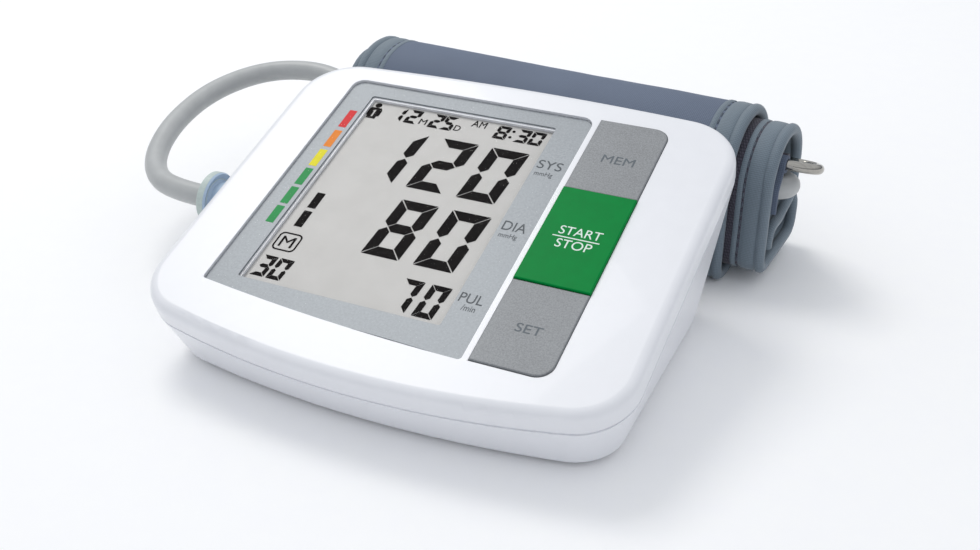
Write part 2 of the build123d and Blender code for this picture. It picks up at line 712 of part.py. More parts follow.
with BuildPart() as pump_eccentric:
    with BuildSketch(SIDE.offset(SHAFT_START)):
        with Locations((PUMP_Y, PUMP_Z + ECCENTRIC_OFF)):
            Circle(ECCENTRIC_R)
        with Locations((PUMP_Y, PUMP_Z)):
            Circle(SHAFT_R, mode=Mode.SUBTRACT)
    extrude(amount=ECCENTRIC_T)
pump_eccentric.part.label = "pump_eccentric"
export_step(pump_eccentric.part, "parts/pump_eccentric.step")

# branch fitting: in line with the pump's nozzle, with one arm forward and one up
TEE_LEFT = TEE_X - TEE_L / 2
TEE_RIGHT = TEE_X + TEE_L / 2
with BuildPart() as air_tee:
    with BuildSketch(SIDE.offset(TEE_LEFT)):
        with Locations((PUMP_Y, PUMP_Z)):
            Circle(TEE_R)
    extrude(amount=TEE_L)
    with BuildSketch(SIDE.offset(TEE_LEFT - NOZZLE_L)):
        with Locations((PUMP_Y, PUMP_Z)):
            Circle(TUBE_BORE)
    extrude(amount=TEE_L + 2 * NOZZLE_L)
    with BuildSketch(Plane(origin=(CASE_X + TEE_X, CASE_Y + PUMP_Y, PUMP_Z), z_dir=(0, -1, 0))):
        Circle(TEE_R - 0.6)
    extrude(amount=TEE_R + 1.0)
    with BuildSketch(Plane(origin=(CASE_X + TEE_X, CASE_Y + PUMP_Y, PUMP_Z), z_dir=(0, -1, 0))):
        Circle(TUBE_BORE)
    extrude(amount=TEE_R + 1.0 + VALVE_NOZZLE_L)
air_tee.part.label = "air_tee"
export_step(air_tee.part, "parts/air_tee.step")

VALVE_REAR = VALVE_Y + VALVE_W / 2
VALVE_FRONT = VALVE_Y - VALVE_W / 2
with BuildPart() as release_valve:
    with BuildSketch(GROUND.offset(FLOOR_TOP)):
        with Locations((TEE_X, VALVE_Y)):
            Rectangle(VALVE_W, VALVE_W)
    extrude(amount=VALVE_H)
    fillet(release_valve.edges().filter_by(Axis.Z), 1.0)
    with BuildSketch(Plane(origin=(CASE_X + TEE_X, CASE_Y + VALVE_REAR, PUMP_Z), z_dir=(0, 1, 0))):
        Circle(TUBE_BORE)
    extrude(amount=VALVE_NOZZLE_L)
    with BuildSketch(Plane(origin=(CASE_X + TEE_X, CASE_Y + VALVE_FRONT, VALVE_PIN_Z), z_dir=(0, 1, 0))):
        Circle(VALVE_PIN_R + SHAFT_GAP)
    extrude(amount=VALVE_PIN_SUNK + VALVE_TRAVEL + 0.3, mode=Mode.SUBTRACT)
release_valve.part.label = "release_valve"
export_step(release_valve.part, "parts/release_valve.step")

with BuildPart() as valve_plunger:
    with BuildSketch(
        Plane(origin=(CASE_X + TEE_X, CASE_Y + VALVE_FRONT - VALVE_PIN_OUT, VALVE_PIN_Z), z_dir=(0, 1, 0))
    ):
        Circle(VALVE_PIN_R)
    extrude(amount=VALVE_PIN_OUT + VALVE_PIN_SUNK)
valve_plunger.part.label = "valve_plunger"
export_step(valve_plunger.part, "parts/valve_plunger.step")


def tube_profile():
    """Cross-section of the inner air tubes."""
    with BuildSketch() as ring:
        Circle(TUBE_R)
        Circle(TUBE_BORE, mode=Mode.SUBTRACT)
    return ring.sketch


with BuildPart() as pump_tube:
    with BuildSketch(SIDE.offset(TEE_RIGHT)):
        with Locations((PUMP_Y, PUMP_Z)):
            add(tube_profile())
    extrude(amount=HEAD_START - TEE_RIGHT)
pump_tube.part.label = "pump_tube"
export_step(pump_tube.part, "parts/pump_tube.step")

with BuildPart() as valve_tube:
    with BuildSketch(Plane(origin=(CASE_X + TEE_X, CASE_Y + VALVE_REAR, PUMP_Z), z_dir=(0, 1, 0))):
        add(tube_profile())
    extrude(amount=PUMP_Y - TEE_R - 1.0 - VALVE_REAR)
valve_tube.part.label = "valve_tube"
export_step(valve_tube.part, "parts/valve_tube.step")

SOCKET_X = -CASE_W / 2 - SOCKET_STANDOFF
SOCKET_INNER = SOCKET_X + SOCKET_L
with BuildLine() as socket_route:
    FilletPolyline(
        (CASE_X + SOCKET_INNER, CASE_Y + SOCKET_Y, SOCKET_Z),
        (CASE_X + SOCKET_INNER + TUBE_LEAD, CASE_Y + SOCKET_Y, SOCKET_Z),
        (CASE_X + TEE_LEFT - TUBE_LEAD, CASE_Y + PUMP_Y, PUMP_Z),
        (CASE_X + TEE_LEFT, CASE_Y + PUMP_Y, PUMP_Z),
        radius=TUBE_BEND_R,
    )
with BuildPart() as socket_tube:
    with BuildSketch(Plane(origin=socket_route.line @ 0, z_dir=socket_route.line % 0)):
        add(tube_profile())
    sweep(path=socket_route.line)
socket_tube.part.label = "socket_tube"
export_step(socket_tube.part, "parts/socket_tube.step")

with BuildPart() as air_socket:
    with BuildSketch(SIDE.offset(SOCKET_X)):
        with Locations((SOCKET_Y, SOCKET_Z)):
            Circle(SOCKET_R)
    extrude(amount=SOCKET_FLANGE_T)
    fillet(air_socket.faces().sort_by(Axis.X)[0].edges(), 0.5)
    with BuildSketch(SIDE.offset(SOCKET_X + SOCKET_FLANGE_T)):
        with Locations((SOCKET_Y, SOCKET_Z)):
            Circle(SOCKET_R - SOCKET_LIP)
    extrude(amount=SOCKET_BODY_L)
    with BuildSketch(SIDE.offset(SOCKET_X)):
        with Locations((SOCKET_Y, SOCKET_Z)):
            Circle(SOCKET_BORE)
    extrude(amount=SOCKET_BODY_L - 1.0, mode=Mode.SUBTRACT)
    with BuildSketch(SIDE.offset(SOCKET_X + SOCKET_FLANGE_T + SOCKET_BODY_L)):
        with Locations((SOCKET_Y, SOCKET_Z)):
            Circle(TEE_R)
    extrude(amount=SOCKET_INNER - SOCKET_X - SOCKET_FLANGE_T - SOCKET_BODY_L)
    with BuildSketch(SIDE.offset(SOCKET_INNER)):
        with Locations((SOCKET_Y, SOCKET_Z)):
            Circle(TUBE_BORE)
    extrude(amount=NOZZLE_L)
air_socket.part.label = "air_socket"
export_step(air_socket.part, "parts/air_socket.step")

with BuildPart() as power_jack:
    with BuildSketch(SIDE.offset(JACK_X)):
        with Locations((JACK_Y, JACK_Z)):
            Circle(JACK_R)
    extrude(amount=JACK_L)
    with BuildSketch(SIDE.offset(JACK_X)):
        with Locations((JACK_Y, JACK_Z)):
            Circle(JACK_BORE)
            Circle(JACK_PIN_R, mode=Mode.SUBTRACT)
    extrude(amount=JACK_L - 2.0, mode=Mode.SUBTRACT)
power_jack.part.label = "power_jack"
export_step(power_jack.part, "parts/power_jack.step")

# ------------------------------------------------------------------ cells, contacts and door
CELL_Z = FLOOR_TOP + DOOR_PLAY + CELL_R
CELL_ROWS = (TUB_Y - CELL_R - CELL_PLAY, TUB_Y + CELL_R + CELL_PLAY)
with BuildPart() as batteries:
    for row, nub_side in zip(CELL_ROWS, (1, -1)):
        for start in (-CELL_L - CELL_PLAY / 2, CELL_PLAY / 2):
            body_start = start if nub_side > 0 else start + NUB_T
            nub_start = start + CELL_L - NUB_T if nub_side > 0 else start
            with BuildSketch(SIDE.offset(body_start)):
                with Locations((row, CELL_Z)):
                    Circle(CELL_R)
            extrude(amount=CELL_L - NUB_T)
            with BuildSketch(SIDE.offset(nub_start)):
                with Locations((row, CELL_Z)):
                    Circle(NUB_R)
            extrude(amount=NUB_T)
batteries.part.label = "batteries"
export_step(batteries.part, "parts/batteries.step")

with BuildPart() as contact_plates:
    for x in (-TUB_W / 2, TUB_W / 2 - PLATE_T):
        with BuildSketch(SIDE.offset(x)):
            with Locations(*[(row, CELL_Z) for row in CELL_ROWS]):
                Rectangle(PLATE_W, PLATE_W)
        extrude(amount=PLATE_T)
contact_plates.part.label = "contact_plates"
export_step(contact_plates.part, "parts/contact_plates.step")

# one coil spring at the flat end of each row
SPRING_ROOM = TUB_W / 2 - PLATE_T - CELL_L - CELL_PLAY / 2
with BuildPart() as contact_springs:
    for row, side in zip(CELL_ROWS, (-1, 1)):
        seat = side * (TUB_W / 2 - PLATE_T - SPRING_WIRE_R)
        with BuildLine() as coil:
            Helix(
                pitch=SPRING_PITCH,
                height=SPRING_ROOM - 2 * SPRING_WIRE_R,
                radius=SPRING_R,
                center=(CASE_X + seat, CASE_Y + row, CELL_Z),
                direction=(-side, 0, 0),
            )
        with BuildSketch(Plane(origin=coil.line @ 0, z_dir=coil.line % 0)):
            Circle(SPRING_WIRE_R)
        sweep(path=coil.line, is_frenet=True)
contact_springs.part.label = "contact_springs"
export_step(contact_springs.part, "parts/contact_springs.step")

with BuildPart() as battery_door:
    with BuildSketch(GROUND.offset(FOOT_H)):
        with Locations((0, TUB_Y)):
            Rectangle(TUB_W - 2 * DOOR_GAP, TUB_D - 2 * DOOR_GAP)
    extrude(amount=FLOOR_T)
    with BuildSketch(GROUND.offset(FOOT_H)):
        with Locations((0, TUB_Y + TUB_D / 2 - DOOR_LATCH_IN)):
            SlotOverall(DOOR_GRIP_W, DOOR_GRIP_D)
    extrude(amount=DOOR_GRIP_DEEP, mode=Mode.SUBTRACT)
battery_door.part.label = "battery_door"
export_step(battery_door.part, "parts/battery_door.step")

# ------------------------------------------------------------------ fasteners and feet
with BuildPart() as case_screws:
    for x, v in CASE_POSTS:
        with BuildSketch(PANEL.offset(-POST_DEPTH - SCREW_WEB - SCREW_HEAD_T)):
            with Locations((x, v)):
                Circle(SCREW_HEAD_R)
        extrude(amount=SCREW_HEAD_T)
        with BuildSketch(PANEL.offset(-POST_DEPTH - SCREW_WEB - SCREW_HEAD_T)):
            with Locations((x, v)):
                Rectangle(3.2, 0.8)
                Rectangle(0.8, 3.2)
        extrude(amount=1.0, mode=Mode.SUBTRACT)
        with BuildSketch(PANEL.offset(-POST_DEPTH - SCREW_WEB)):
            with Locations((x, v)):
                Circle(SCREW_R)
        extrude(amount=SCREW_WEB + SCREW_BITE)
case_screws.part.label = "case_screws"
export_step(case_screws.part, "parts/case_screws.step")

with BuildPart() as board_screws:
    with BuildSketch(UNDER_BOARD):
        with Locations(*BOARD_POSTS):
            Circle(2 * BOARD_SCREW_R)
    extrude(amount=-BOARD_SCREW_HEAD_T)
    with BuildSketch(UNDER_BOARD):
        with Locations(*BOARD_POSTS):
            Circle(BOARD_SCREW_R)
    extrude(amount=BOARD_T + BOARD_SCREW_L - 0.5)
board_screws.part.label = "board_screws"
export_step(board_screws.part, "parts/board_screws.step")

with BuildPart() as rubber_feet:
    with BuildSketch(GROUND):
        with Locations(*FEET):
            Circle(FOOT_R)
    extrude(amount=FOOT_H + FOOT_SUNK)
    chamfer(rubber_feet.edges().group_by(Axis.Z)[0], 0.3)
rubber_feet.part.label = "rubber_feet"
export_step(rubber_feet.part, "parts/rubber_feet.step")


# ------------------------------------------------------------------ rolled cuff
LAYER = COVER_T + LINING_T
PITCH = LAYER + TURN_GAP
OUTER_HALF = ROLL_W / 2 - TAPE_T - COVER_T        # where cover and lining meet, outer turn
OUTER_LOW = TAPE_T + COVER_T
OUTER_TOP = ROLL_H - TAPE_T - COVER_T
INNER_FRONT = OUTER_HALF - PITCH
INNER_LOW = OUTER_LOW + PITCH
INNER_TOP = OUTER_TOP - PITCH
JOIN_Z = 30.0
FLAP_PATH = [
    (FLAP_START, OUTER_LOW),
    (-OUTER_HALF, OUTER_LOW),
    (-OUTER_HALF, OUTER_TOP),
    (OUTER_HALF, OUTER_TOP),
    (OUTER_HALF, JOIN_Z),
]
FLAP_RADII = [BOTTOM_R, TOP_R, TOP_R]
BODY_PATH = [
    (OUTER_HALF, JOIN_Z),
    (OUTER_HALF, INNER_LOW),
    (-INNER_FRONT, INNER_LOW),
    (-INNER_FRONT, INNER_TOP),
    (INNER_FRONT, INNER_TOP),
    (INNER_FRONT, FOLD_Z),
    (FOLD_MIDDLE, FOLD_LOW),
    (TAIL_B, FOLD_LOW + TAIL_RISE),
    (TAIL_B, INNER_LOW + LAYER + TAIL_GAP),
]
BODY_RADII = [INNER_BOTTOM_R, INNER_BOTTOM_R, TOP_R - PITCH, TOP_R - PITCH, FOLD_TOP_R, FOLD_R, TAIL_R]


def band(points, radii, outer, inner):
    """Section of a layer along the roll's spiral: outer and inner are its reach from the spiral."""
    with BuildLine() as spiral:
        FilletPolyline(*points, radius=radii)
    with BuildSketch() as section:
        if outer:
            with BuildLine():
                offset(spiral.wires()[0], amount=outer, side=Side.LEFT, closed=True)
            make_face()
        if inner:
            with BuildLine():
                offset(spiral.wires()[0], amount=inner, side=Side.RIGHT, closed=True)
            make_face()
    return section.sketch


def rolled(outer, inner):
    """A layer of the cuff: outer turn and inner turn, each over its own width."""
    with BuildPart() as layer:
        with BuildSketch(ROLL.offset(FLAP_LEFT)):
            add(band(FLAP_PATH, FLAP_RADII, outer, inner))
        extrude(amount=FLAP_RIGHT - FLAP_LEFT)
        with BuildSketch(ROLL.offset(BODY_LEFT)):
            add(band(BODY_PATH, BODY_RADII, outer, inner))
        extrude(amount=BODY_RIGHT - BODY_LEFT)
    return layer.part


def binding(points, radii, start, end, name):
    """Tape folded round one edge of the cuff, from start to end along the roll."""
    with BuildPart() as tape:
        with BuildSketch(ROLL.offset(start)):
            add(band(points, radii, COVER_T + TAPE_T, LINING_T + TAPE_T))
        extrude(amount=end - start)
        add(cuff_cover.part, mode=Mode.SUBTRACT)
        add(cuff_lining.part, mode=Mode.SUBTRACT)
    tape.part.label = name
    export_step(tape.part, f"parts/{name}.step")


with BuildPart() as cuff_cover:
    add(rolled(COVER_T, 0))
cuff_cover.part.label = "cuff_cover"
export_step(cuff_cover.part, "parts/cuff_cover.step")

BLADDER_PATH = [
    (OUTER_HALF - PITCH - BOTTOM_R, INNER_LOW),
    (-INNER_FRONT, INNER_LOW),
    (-INNER_FRONT, INNER_TOP),
    (INNER_FRONT, INNER_TOP),
    (INNER_FRONT, FOLD_Z + BLADDER_SHORT),
]
with BuildPart() as cuff_bladder:
    with BuildSketch(ROLL.offset(BODY_LEFT + BLADDER_INSET)):
        add(band(BLADDER_PATH, BODY_RADII[1:4], 0, BLADDER_T))
    extrude(amount=BODY_RIGHT - BODY_LEFT - 2 * BLADDER_INSET)
cuff_bladder.part.label = "cuff_bladder"
export_step(cuff_bladder.part, "parts/cuff_bladder.step")

with BuildPart() as cuff_lining:
    add(rolled(0, LINING_T))
    add(cuff_bladder.part, mode=Mode.SUBTRACT)
cuff_lining.part.label = "cuff_lining"
export_step(cuff_lining.part, "parts/cuff_lining.step")

binding(FLAP_PATH, FLAP_RADII, FLAP_RIGHT - TAPE_W, FLAP_RIGHT + TAPE_T, "flap_binding_right")
binding(FLAP_PATH, FLAP_RADII, FLAP_LEFT - TAPE_T, FLAP_LEFT + TAPE_W, "flap_binding_left")
binding(BODY_PATH, BODY_RADII, BODY_RIGHT - TAPE_W, BODY_RIGHT + TAPE_T, "body_binding_right")
binding(BODY_PATH, BODY_RADII, BODY_LEFT - TAPE_T, BODY_LEFT + TAPE_W, "body_binding_left")

# hook patch on the inside of the free end
with BuildPart() as hook_patch:
    with BuildSketch(ROLL.offset(-HOOK_W / 2)):
        with Locations(((FLAP_START - BOTTOM_R) / 2, OUTER_LOW + LINING_T + HOOK_T / 2)):
            Rectangle(HOOK_D, HOOK_T)
    extrude(amount=HOOK_W)
hook_patch.part.label = "hook_patch"
export_step(hook_patch.part, "parts/hook_patch.step")

# metal ring: two long bars joined by round ends, its front bar in a tunnel of fabric
RC, RS = cos(radians(RING_TILT)), sin(radians(RING_TILT))
BAR_B = RING_CENTRE[0] - RING_BAR_GAP / 2 * RC
BAR_Z = RING_CENTRE[1] - RING_BAR_GAP / 2 * RS
RING_PLANE = Plane(
    origin=ROLL.from_local_coords(Vector(RING_CENTRE[0], RING_CENTRE[1], 0)),
    x_dir=ROLL.z_dir,
    z_dir=ROLL.x_dir * -RS + ROLL.y_dir * RC,
)
STRAIGHT_LEFT = RING_LEFT + RING_WIRE_R + RING_BAR_GAP / 2
STRAIGHT_RIGHT = RING_RIGHT - RING_WIRE_R - RING_BAR_GAP / 2
with BuildLine(RING_PLANE) as ring_route:
    Line((STRAIGHT_LEFT, -RING_BAR_GAP / 2), (STRAIGHT_RIGHT, -RING_BAR_GAP / 2))
    ThreePointArc(
        (STRAIGHT_RIGHT, -RING_BAR_GAP / 2),
        (STRAIGHT_RIGHT + RING_BAR_GAP / 2, 0),
        (STRAIGHT_RIGHT, RING_BAR_GAP / 2),
    )
    Line((STRAIGHT_RIGHT, RING_BAR_GAP / 2), (STRAIGHT_LEFT, RING_BAR_GAP / 2))
    ThreePointArc(
        (STRAIGHT_LEFT, RING_BAR_GAP / 2),
        (STRAIGHT_LEFT - RING_BAR_GAP / 2, 0),
        (STRAIGHT_LEFT, -RING_BAR_GAP / 2),
    )
with BuildPart() as cuff_ring:
    with BuildSketch(Plane(origin=ring_route.line @ 0, z_dir=ring_route.line % 0)):
        Circle(RING_WIRE_R)
    sweep(path=ring_route.line)
cuff_ring.part.label = "cuff_ring"
export_step(cuff_ring.part, "parts/cuff_ring.step")

TUNNEL_BORE = RING_WIRE_R + TUNNEL_GAP
WALL_B = -INNER_FRONT + LINING_T + TAPE_T
with BuildLine() as strap_path:
    FilletPolyline(
        (WALL_B + TUNNEL_T / 2, BAR_Z - STRAP_LOW),
        (WALL_B + TUNNEL_T / 2, BAR_Z - STRAP_HIGH),
        (BAR_B - STRAP_MEET, BAR_Z - STRAP_MEET),
        radius=2.0,
    )
with BuildPart() as ring_tunnel:
    with BuildSketch(ROLL.offset(TUNNEL_LEFT)):
        with BuildLine():
            offset(strap_path.wires()[0], amount=TUNNEL_T / 2, side=Side.BOTH)
        make_face()
        with Locations((BAR_B, BAR_Z)):
            Circle(TUNNEL_BORE + TUNNEL_T)
            Circle(TUNNEL_BORE, mode=Mode.SUBTRACT)
    extrude(amount=TUNNEL_RIGHT - TUNNEL_LEFT)
ring_tunnel.part.label = "ring_tunnel"
export_step(ring_tunnel.part, "parts/ring_tunnel.step")

# sleeve of cloth round the ring's rear bar
REAR_BAR_B = RING_CENTRE[0] + RING_BAR_GAP / 2 * RC
REAR_BAR_Z = RING_CENTRE[1] + RING_BAR_GAP / 2 * RS
with BuildPart() as ring_sleeve:
    with BuildSketch(ROLL.offset(TUNNEL_LEFT)):
        with Locations((REAR_BAR_B, REAR_BAR_Z)):
            Circle(TUNNEL_BORE + SLEEVE_T)
            Circle(TUNNEL_BORE, mode=Mode.SUBTRACT)
    extrude(amount=SLEEVE_RIGHT - TUNNEL_LEFT)
ring_sleeve.part.label = "ring_sleeve"
export_step(ring_sleeve.part, "parts/ring_sleeve.step")

# ------------------------------------------------------------------ port, hose and plug
PORT_B = INNER_FRONT - LINING_T - PORT_GAP - PORT_FLANGE_T - PORT_R
PORT_BRANCH = Plane(
    origin=ROLL.from_local_coords(Vector(PORT_B, PORT_Z, PORT_A - PORT_L / 2)),
    x_dir=ROLL.z_dir,
    z_dir=ROLL.x_dir,
)
with BuildPart() as cuff_port:
    with BuildSketch(ROLL.offset(PORT_A)):
        with Locations((PORT_B, PORT_Z)):
            Circle(PORT_R)
    extrude(amount=-PORT_L)
    with BuildSketch(PORT_BRANCH):
        Circle(PORT_NECK_R)
    extrude(amount=PORT_R + PORT_FLANGE_T)
    with BuildSketch(PORT_BRANCH.offset(PORT_R + PORT_FLANGE_T)):
        Circle(PORT_FLANGE_R)
    extrude(amount=-PORT_FLANGE_T - PORT_FLANGE_SUNK)
cuff_port.part.label = "cuff_port"
export_step(cuff_port.part, "parts/cuff_port.step")

PLUG_FACE = SOCKET_X - PLUG_GAP
PLUG_TIP = SOCKET_X + PLUG_NOSE_L
DISC_INNER = PLUG_END + PLUG_DISC_T
with BuildPart() as air_plug:
    with BuildSketch(Plane(origin=(CASE_X, CASE_Y + SOCKET_Y, SOCKET_Z), x_dir=(1, 0, 0), z_dir=(0, -1, 0))):
        with BuildLine():
            Polyline(
                (PLUG_TIP, 0),
                (PLUG_TIP, PLUG_NOSE_R - PLUG_EDGE),
                (PLUG_TIP - PLUG_EDGE, PLUG_NOSE_R),
                (SEAL_X + SEAL_W, PLUG_NOSE_R),
                (SEAL_X + SEAL_W, PLUG_NOSE_R - SEAL_DEEP),
                (SEAL_X, PLUG_NOSE_R - SEAL_DEEP),
                (SEAL_X, PLUG_NOSE_R),
                (PLUG_FACE, PLUG_NOSE_R),
                (PLUG_FACE, PLUG_GRIP_R),
                (DISC_INNER + PLUG_CUP, PLUG_GRIP_R),
                (DISC_INNER, PLUG_GRIP_R + PLUG_CUP),
                (DISC_INNER + PLUG_CUP, PLUG_DISC_R - PLUG_CUP / 2),
                (DISC_INNER, PLUG_DISC_R),
                (PLUG_END + PLUG_EDGE, PLUG_DISC_R),
                (PLUG_END, PLUG_DISC_R - PLUG_EDGE),
                (PLUG_END, 0),
                close=True,
            )
        make_face()
    revolve(axis=Axis((CASE_X, CASE_Y + SOCKET_Y, SOCKET_Z), (1, 0, 0)))
air_plug.part.label = "air_plug"
export_step(air_plug.part, "parts/air_plug.step")

with BuildPart() as plug_seal:
    with BuildSketch(SIDE.offset(SEAL_X)):
        with Locations((SOCKET_Y, SOCKET_Z)):
            Circle(PLUG_NOSE_R)
            Circle(PLUG_NOSE_R - SEAL_DEEP, mode=Mode.SUBTRACT)
    extrude(amount=SEAL_W)
plug_seal.part.label = "plug_seal"
export_step(plug_seal.part, "parts/plug_seal.step")


def in_roll(along, b, z):
    """A point given along the roll's axis, rearwards across it, and up."""
    return ROLL.from_local_coords(Vector(b, z, along))


# the hose's route: out of the plug, round the case's left side, into the roll's left end, along its
# core to the right end, round a tight bend there and back to the port
HOSE_ROUTE = [
    Vector(CASE_X + PLUG_END, CASE_Y + SOCKET_Y, SOCKET_Z),
    Vector(-109.0, CASE_Y + SOCKET_Y, SOCKET_Z),
    Vector(-122.0, -20.0, 29.3),
    Vector(-132.0, -6.0, 31.0),
    Vector(-138.5, 15.0, 34.0),
    Vector(-139.0, 39.0, 36.8),
    Vector(-130.0, 60.0, 38.5),
    Vector(-113.0, 69.0, 38.5),
    Vector(-96.0, 66.5, 36.5),
    in_roll(-70.0, -8.0, 33.6),
    in_roll(-38.0, -8.6, 32.2),
    in_roll(0.0, -8.8, 31.8),
    in_roll(36.0, -8.6, 32.4),
    in_roll(62.0, -8.4, 33.0),
    in_roll(85.5, -8.4, 33.2),
    in_roll(85.5, 8.2, 29.5),
    in_roll(60.0, 8.2, 29.8),
    in_roll(22.0, 8.4, 30.8),
    in_roll(-8.0, PORT_B, PORT_Z),
    in_roll(PORT_A, PORT_B, PORT_Z),
]


def bend_radii(route):
    """Radius at each corner of a route: 0.45 of the shorter run over the tangent of half the turn."""
    radii = []
    for before, corner, after in zip(route, route[1:], route[2:]):
        run_in, run_out = corner - before, after - corner
        half_turn = radians(run_in.get_angle(run_out)) / 2
        radii.append(0.45 * min(run_in.length, run_out.length) / tan(half_turn))
    return radii


HOSE_RADII = bend_radii(HOSE_ROUTE)
print("hose runs", [round((b - a).length, 1) for a, b in zip(HOSE_ROUTE, HOSE_ROUTE[1:])])
print("hose bend radii", [round(r, 1) for r in HOSE_RADII])
with BuildLine() as hose_path:
    FilletPolyline(*HOSE_ROUTE, radius=HOSE_RADII)
with BuildPart() as air_hose:
    with BuildSketch(Plane(origin=hose_path.line @ 0, z_dir=hose_path.line % 0)):
        Circle(HOSE_R)
    sweep(path=hose_path.line)
print("hose length", round(hose_path.wires()[0].length, 1), "volume", round(air_hose.part.volume, 1),
      "expected", round(pi * HOSE_R**2 * hose_path.wires()[0].length, 1))
air_hose.part.label = "air_hose"
export_step(air_hose.part, "parts/air_hose.step")

print("origin shift", round(CASE_X, 3), round(CASE_Y, 3))
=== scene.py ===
"""Looks of the upper-arm blood pressure monitor and its rolled cuff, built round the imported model.

Places are given in millimetres as in the part's source, and the helpers turn them to metres.
"""
import math
import random

import bpy
from mathutils import Matrix, Vector, noise


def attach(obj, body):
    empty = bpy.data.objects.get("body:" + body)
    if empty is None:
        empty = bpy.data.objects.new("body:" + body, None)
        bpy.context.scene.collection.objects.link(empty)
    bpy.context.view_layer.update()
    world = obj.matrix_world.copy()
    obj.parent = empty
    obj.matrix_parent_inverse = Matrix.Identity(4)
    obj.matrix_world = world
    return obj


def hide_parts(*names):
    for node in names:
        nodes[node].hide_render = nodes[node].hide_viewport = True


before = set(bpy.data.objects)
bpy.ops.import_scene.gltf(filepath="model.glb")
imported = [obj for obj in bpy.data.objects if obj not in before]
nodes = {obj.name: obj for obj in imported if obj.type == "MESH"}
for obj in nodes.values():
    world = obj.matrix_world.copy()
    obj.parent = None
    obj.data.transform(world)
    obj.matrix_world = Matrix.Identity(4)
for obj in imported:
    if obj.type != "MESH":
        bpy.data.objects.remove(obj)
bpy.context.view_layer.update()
scene = bpy.context.scene
random.seed(7)

MM = 0.001
# ------------------------------------------------------------------ places, as in the part's source
CASE_X, CASE_Y = -7.585, -90.469        # middle of the case and its panel's front edge
TILT = math.radians(17.4)
ST, CT = math.sin(TILT), math.cos(TILT)
FRONT_H = 22.3
YAW = math.radians(4.0)
SY, CY = math.sin(YAW), math.cos(YAW)
ROLL_Y = 153.0
FLAP_LEFT, FLAP_RIGHT = -75.0, 71.5     # ends of the outer turn along the roll
BODY_LEFT, BODY_RIGHT = -80.0, 84.5     # ends of the inner turn
OUTER_HALF, OUTER_LOW, OUTER_TOP = 20.2, 1.8, 54.2
PITCH = 4.2
TOP_R, BOTTOM_R, INNER_BOTTOM_R = 19.5, 5.0, 4.5
INNER_FRONT, INNER_LOW, INNER_TOP = OUTER_HALF - PITCH, OUTER_LOW + PITCH, OUTER_TOP - PITCH
JOIN_Z = 30.0                           # the outer turn passes into the inner one here
FLAP_START = 13.0                       # free end of the outer turn
FOLD_Z, FOLD_MIDDLE, FOLD_LOW = 22.0, 1.0, 18.0
TAIL_B, TAIL_TOP, TAIL_END = -8.5, 18.5, 9.8
FOLD_TOP_R, FOLD_R, TAIL_R = 4.0, 7.0, 4.2
SPIRAL = [
    (FLAP_START, OUTER_LOW), (-OUTER_HALF, OUTER_LOW), (-OUTER_HALF, OUTER_TOP), (OUTER_HALF, OUTER_TOP),
    (OUTER_HALF, INNER_LOW), (-INNER_FRONT, INNER_LOW), (-INNER_FRONT, INNER_TOP),
    (INNER_FRONT, INNER_TOP), (INNER_FRONT, FOLD_Z), (FOLD_MIDDLE, FOLD_LOW),
    (TAIL_B, TAIL_TOP), (TAIL_B, TAIL_END),
]
SPIRAL_RADII = [
    BOTTOM_R, TOP_R, TOP_R, INNER_BOTTOM_R, INNER_BOTTOM_R, TOP_R - PITCH, TOP_R - PITCH,
    FOLD_TOP_R, FOLD_R, TAIL_R,
]
SOCKET_Y, SOCKET_Z = 64.0, 29.0
HOSE_R = 3.75
PLUG_END = -86.2                        # where the hose starts
BLUE_FROM = -83.5                       # the plug is pale blue from here to the case
PORT_B, PORT_Z, PORT_A = 8.6, 31.1, -36.0
BAR_B, BAR_Z = -6.808, 42.023           # the ring's front bar
REAR_BAR_B, REAR_BAR_Z = 5.408, 37.577
GLASS_TOP = -2.5                        # the display glass, below the panel


def on_panel(x, v, w=0.0):
    """A point on the panel: from the case's middle, up the slope, and out of it."""
    return Vector((CASE_X + x, CASE_Y + v * CT - w * ST, FRONT_H + v * ST + w * CT)) * MM


def in_roll(along, b, z):
    """A point along the roll's axis, rearwards across it, and up."""
    return Vector((CASE_X + b * SY + along * CY, CASE_Y + ROLL_Y + b * CY - along * SY, z)) * MM


def at(x, y, z):
    """A point given in the object's own frame."""
    return Vector((x, y, z)) * MM


PANEL = Matrix.Translation(on_panel(0, 0)) @ Matrix.Rotation(TILT, 4, "X") @ Matrix.Scale(MM, 4)

# ------------------------------------------------------------------ camera
eye = bpy.data.objects.new("camera", bpy.data.cameras.new("camera"))
scene.collection.objects.link(eye)
eye.location = at(139.33, -314.66, 205.64)
eye.rotation_euler = Vector((-0.36182, 0.78843, -0.49746)).to_track_quat("-Z", "Y").to_euler()
eye.data.lens = 44.5
eye.data.sensor_width = 36.0
eye.data.clip_start = 0.01
scene.camera = eye


# ------------------------------------------------------------------ materials
def linear(code):
    """An sRGB hex colour as the linear one that a shader takes."""
    parts = [int(code[i:i + 2], 16) / 255 for i in (1, 3, 5)]
    return [c / 12.92 if c <= 0.04045 else ((c + 0.055) / 1.055) ** 2.4 for c in parts] + [1.0]


def add_node(tree, kind, settings, links=None):
    """Adds a node: settings go to its properties or input sockets, links to its input sockets."""
    node = tree.nodes.new(kind)
    for key, value in settings.items():
        if isinstance(key, str) and hasattr(node, key):
            setattr(node, key, value)
        else:
            node.inputs[key].default_value = value
    for key, source in (links or {}).items():
        tree.links.new(source, node.inputs[key])
    return node


def new_material(name, **sockets):
    """A material with constants set on its shader's own sockets. Returns it, its tree and its shader."""
    made = bpy.data.materials.new(name)
    made.use_nodes = True
    shader = made.node_tree.nodes["Principled BSDF"]
    for key, value in sockets.items():
        shader.inputs[key.replace("_", " ")].default_value = value
    return made, made.node_tree, shader


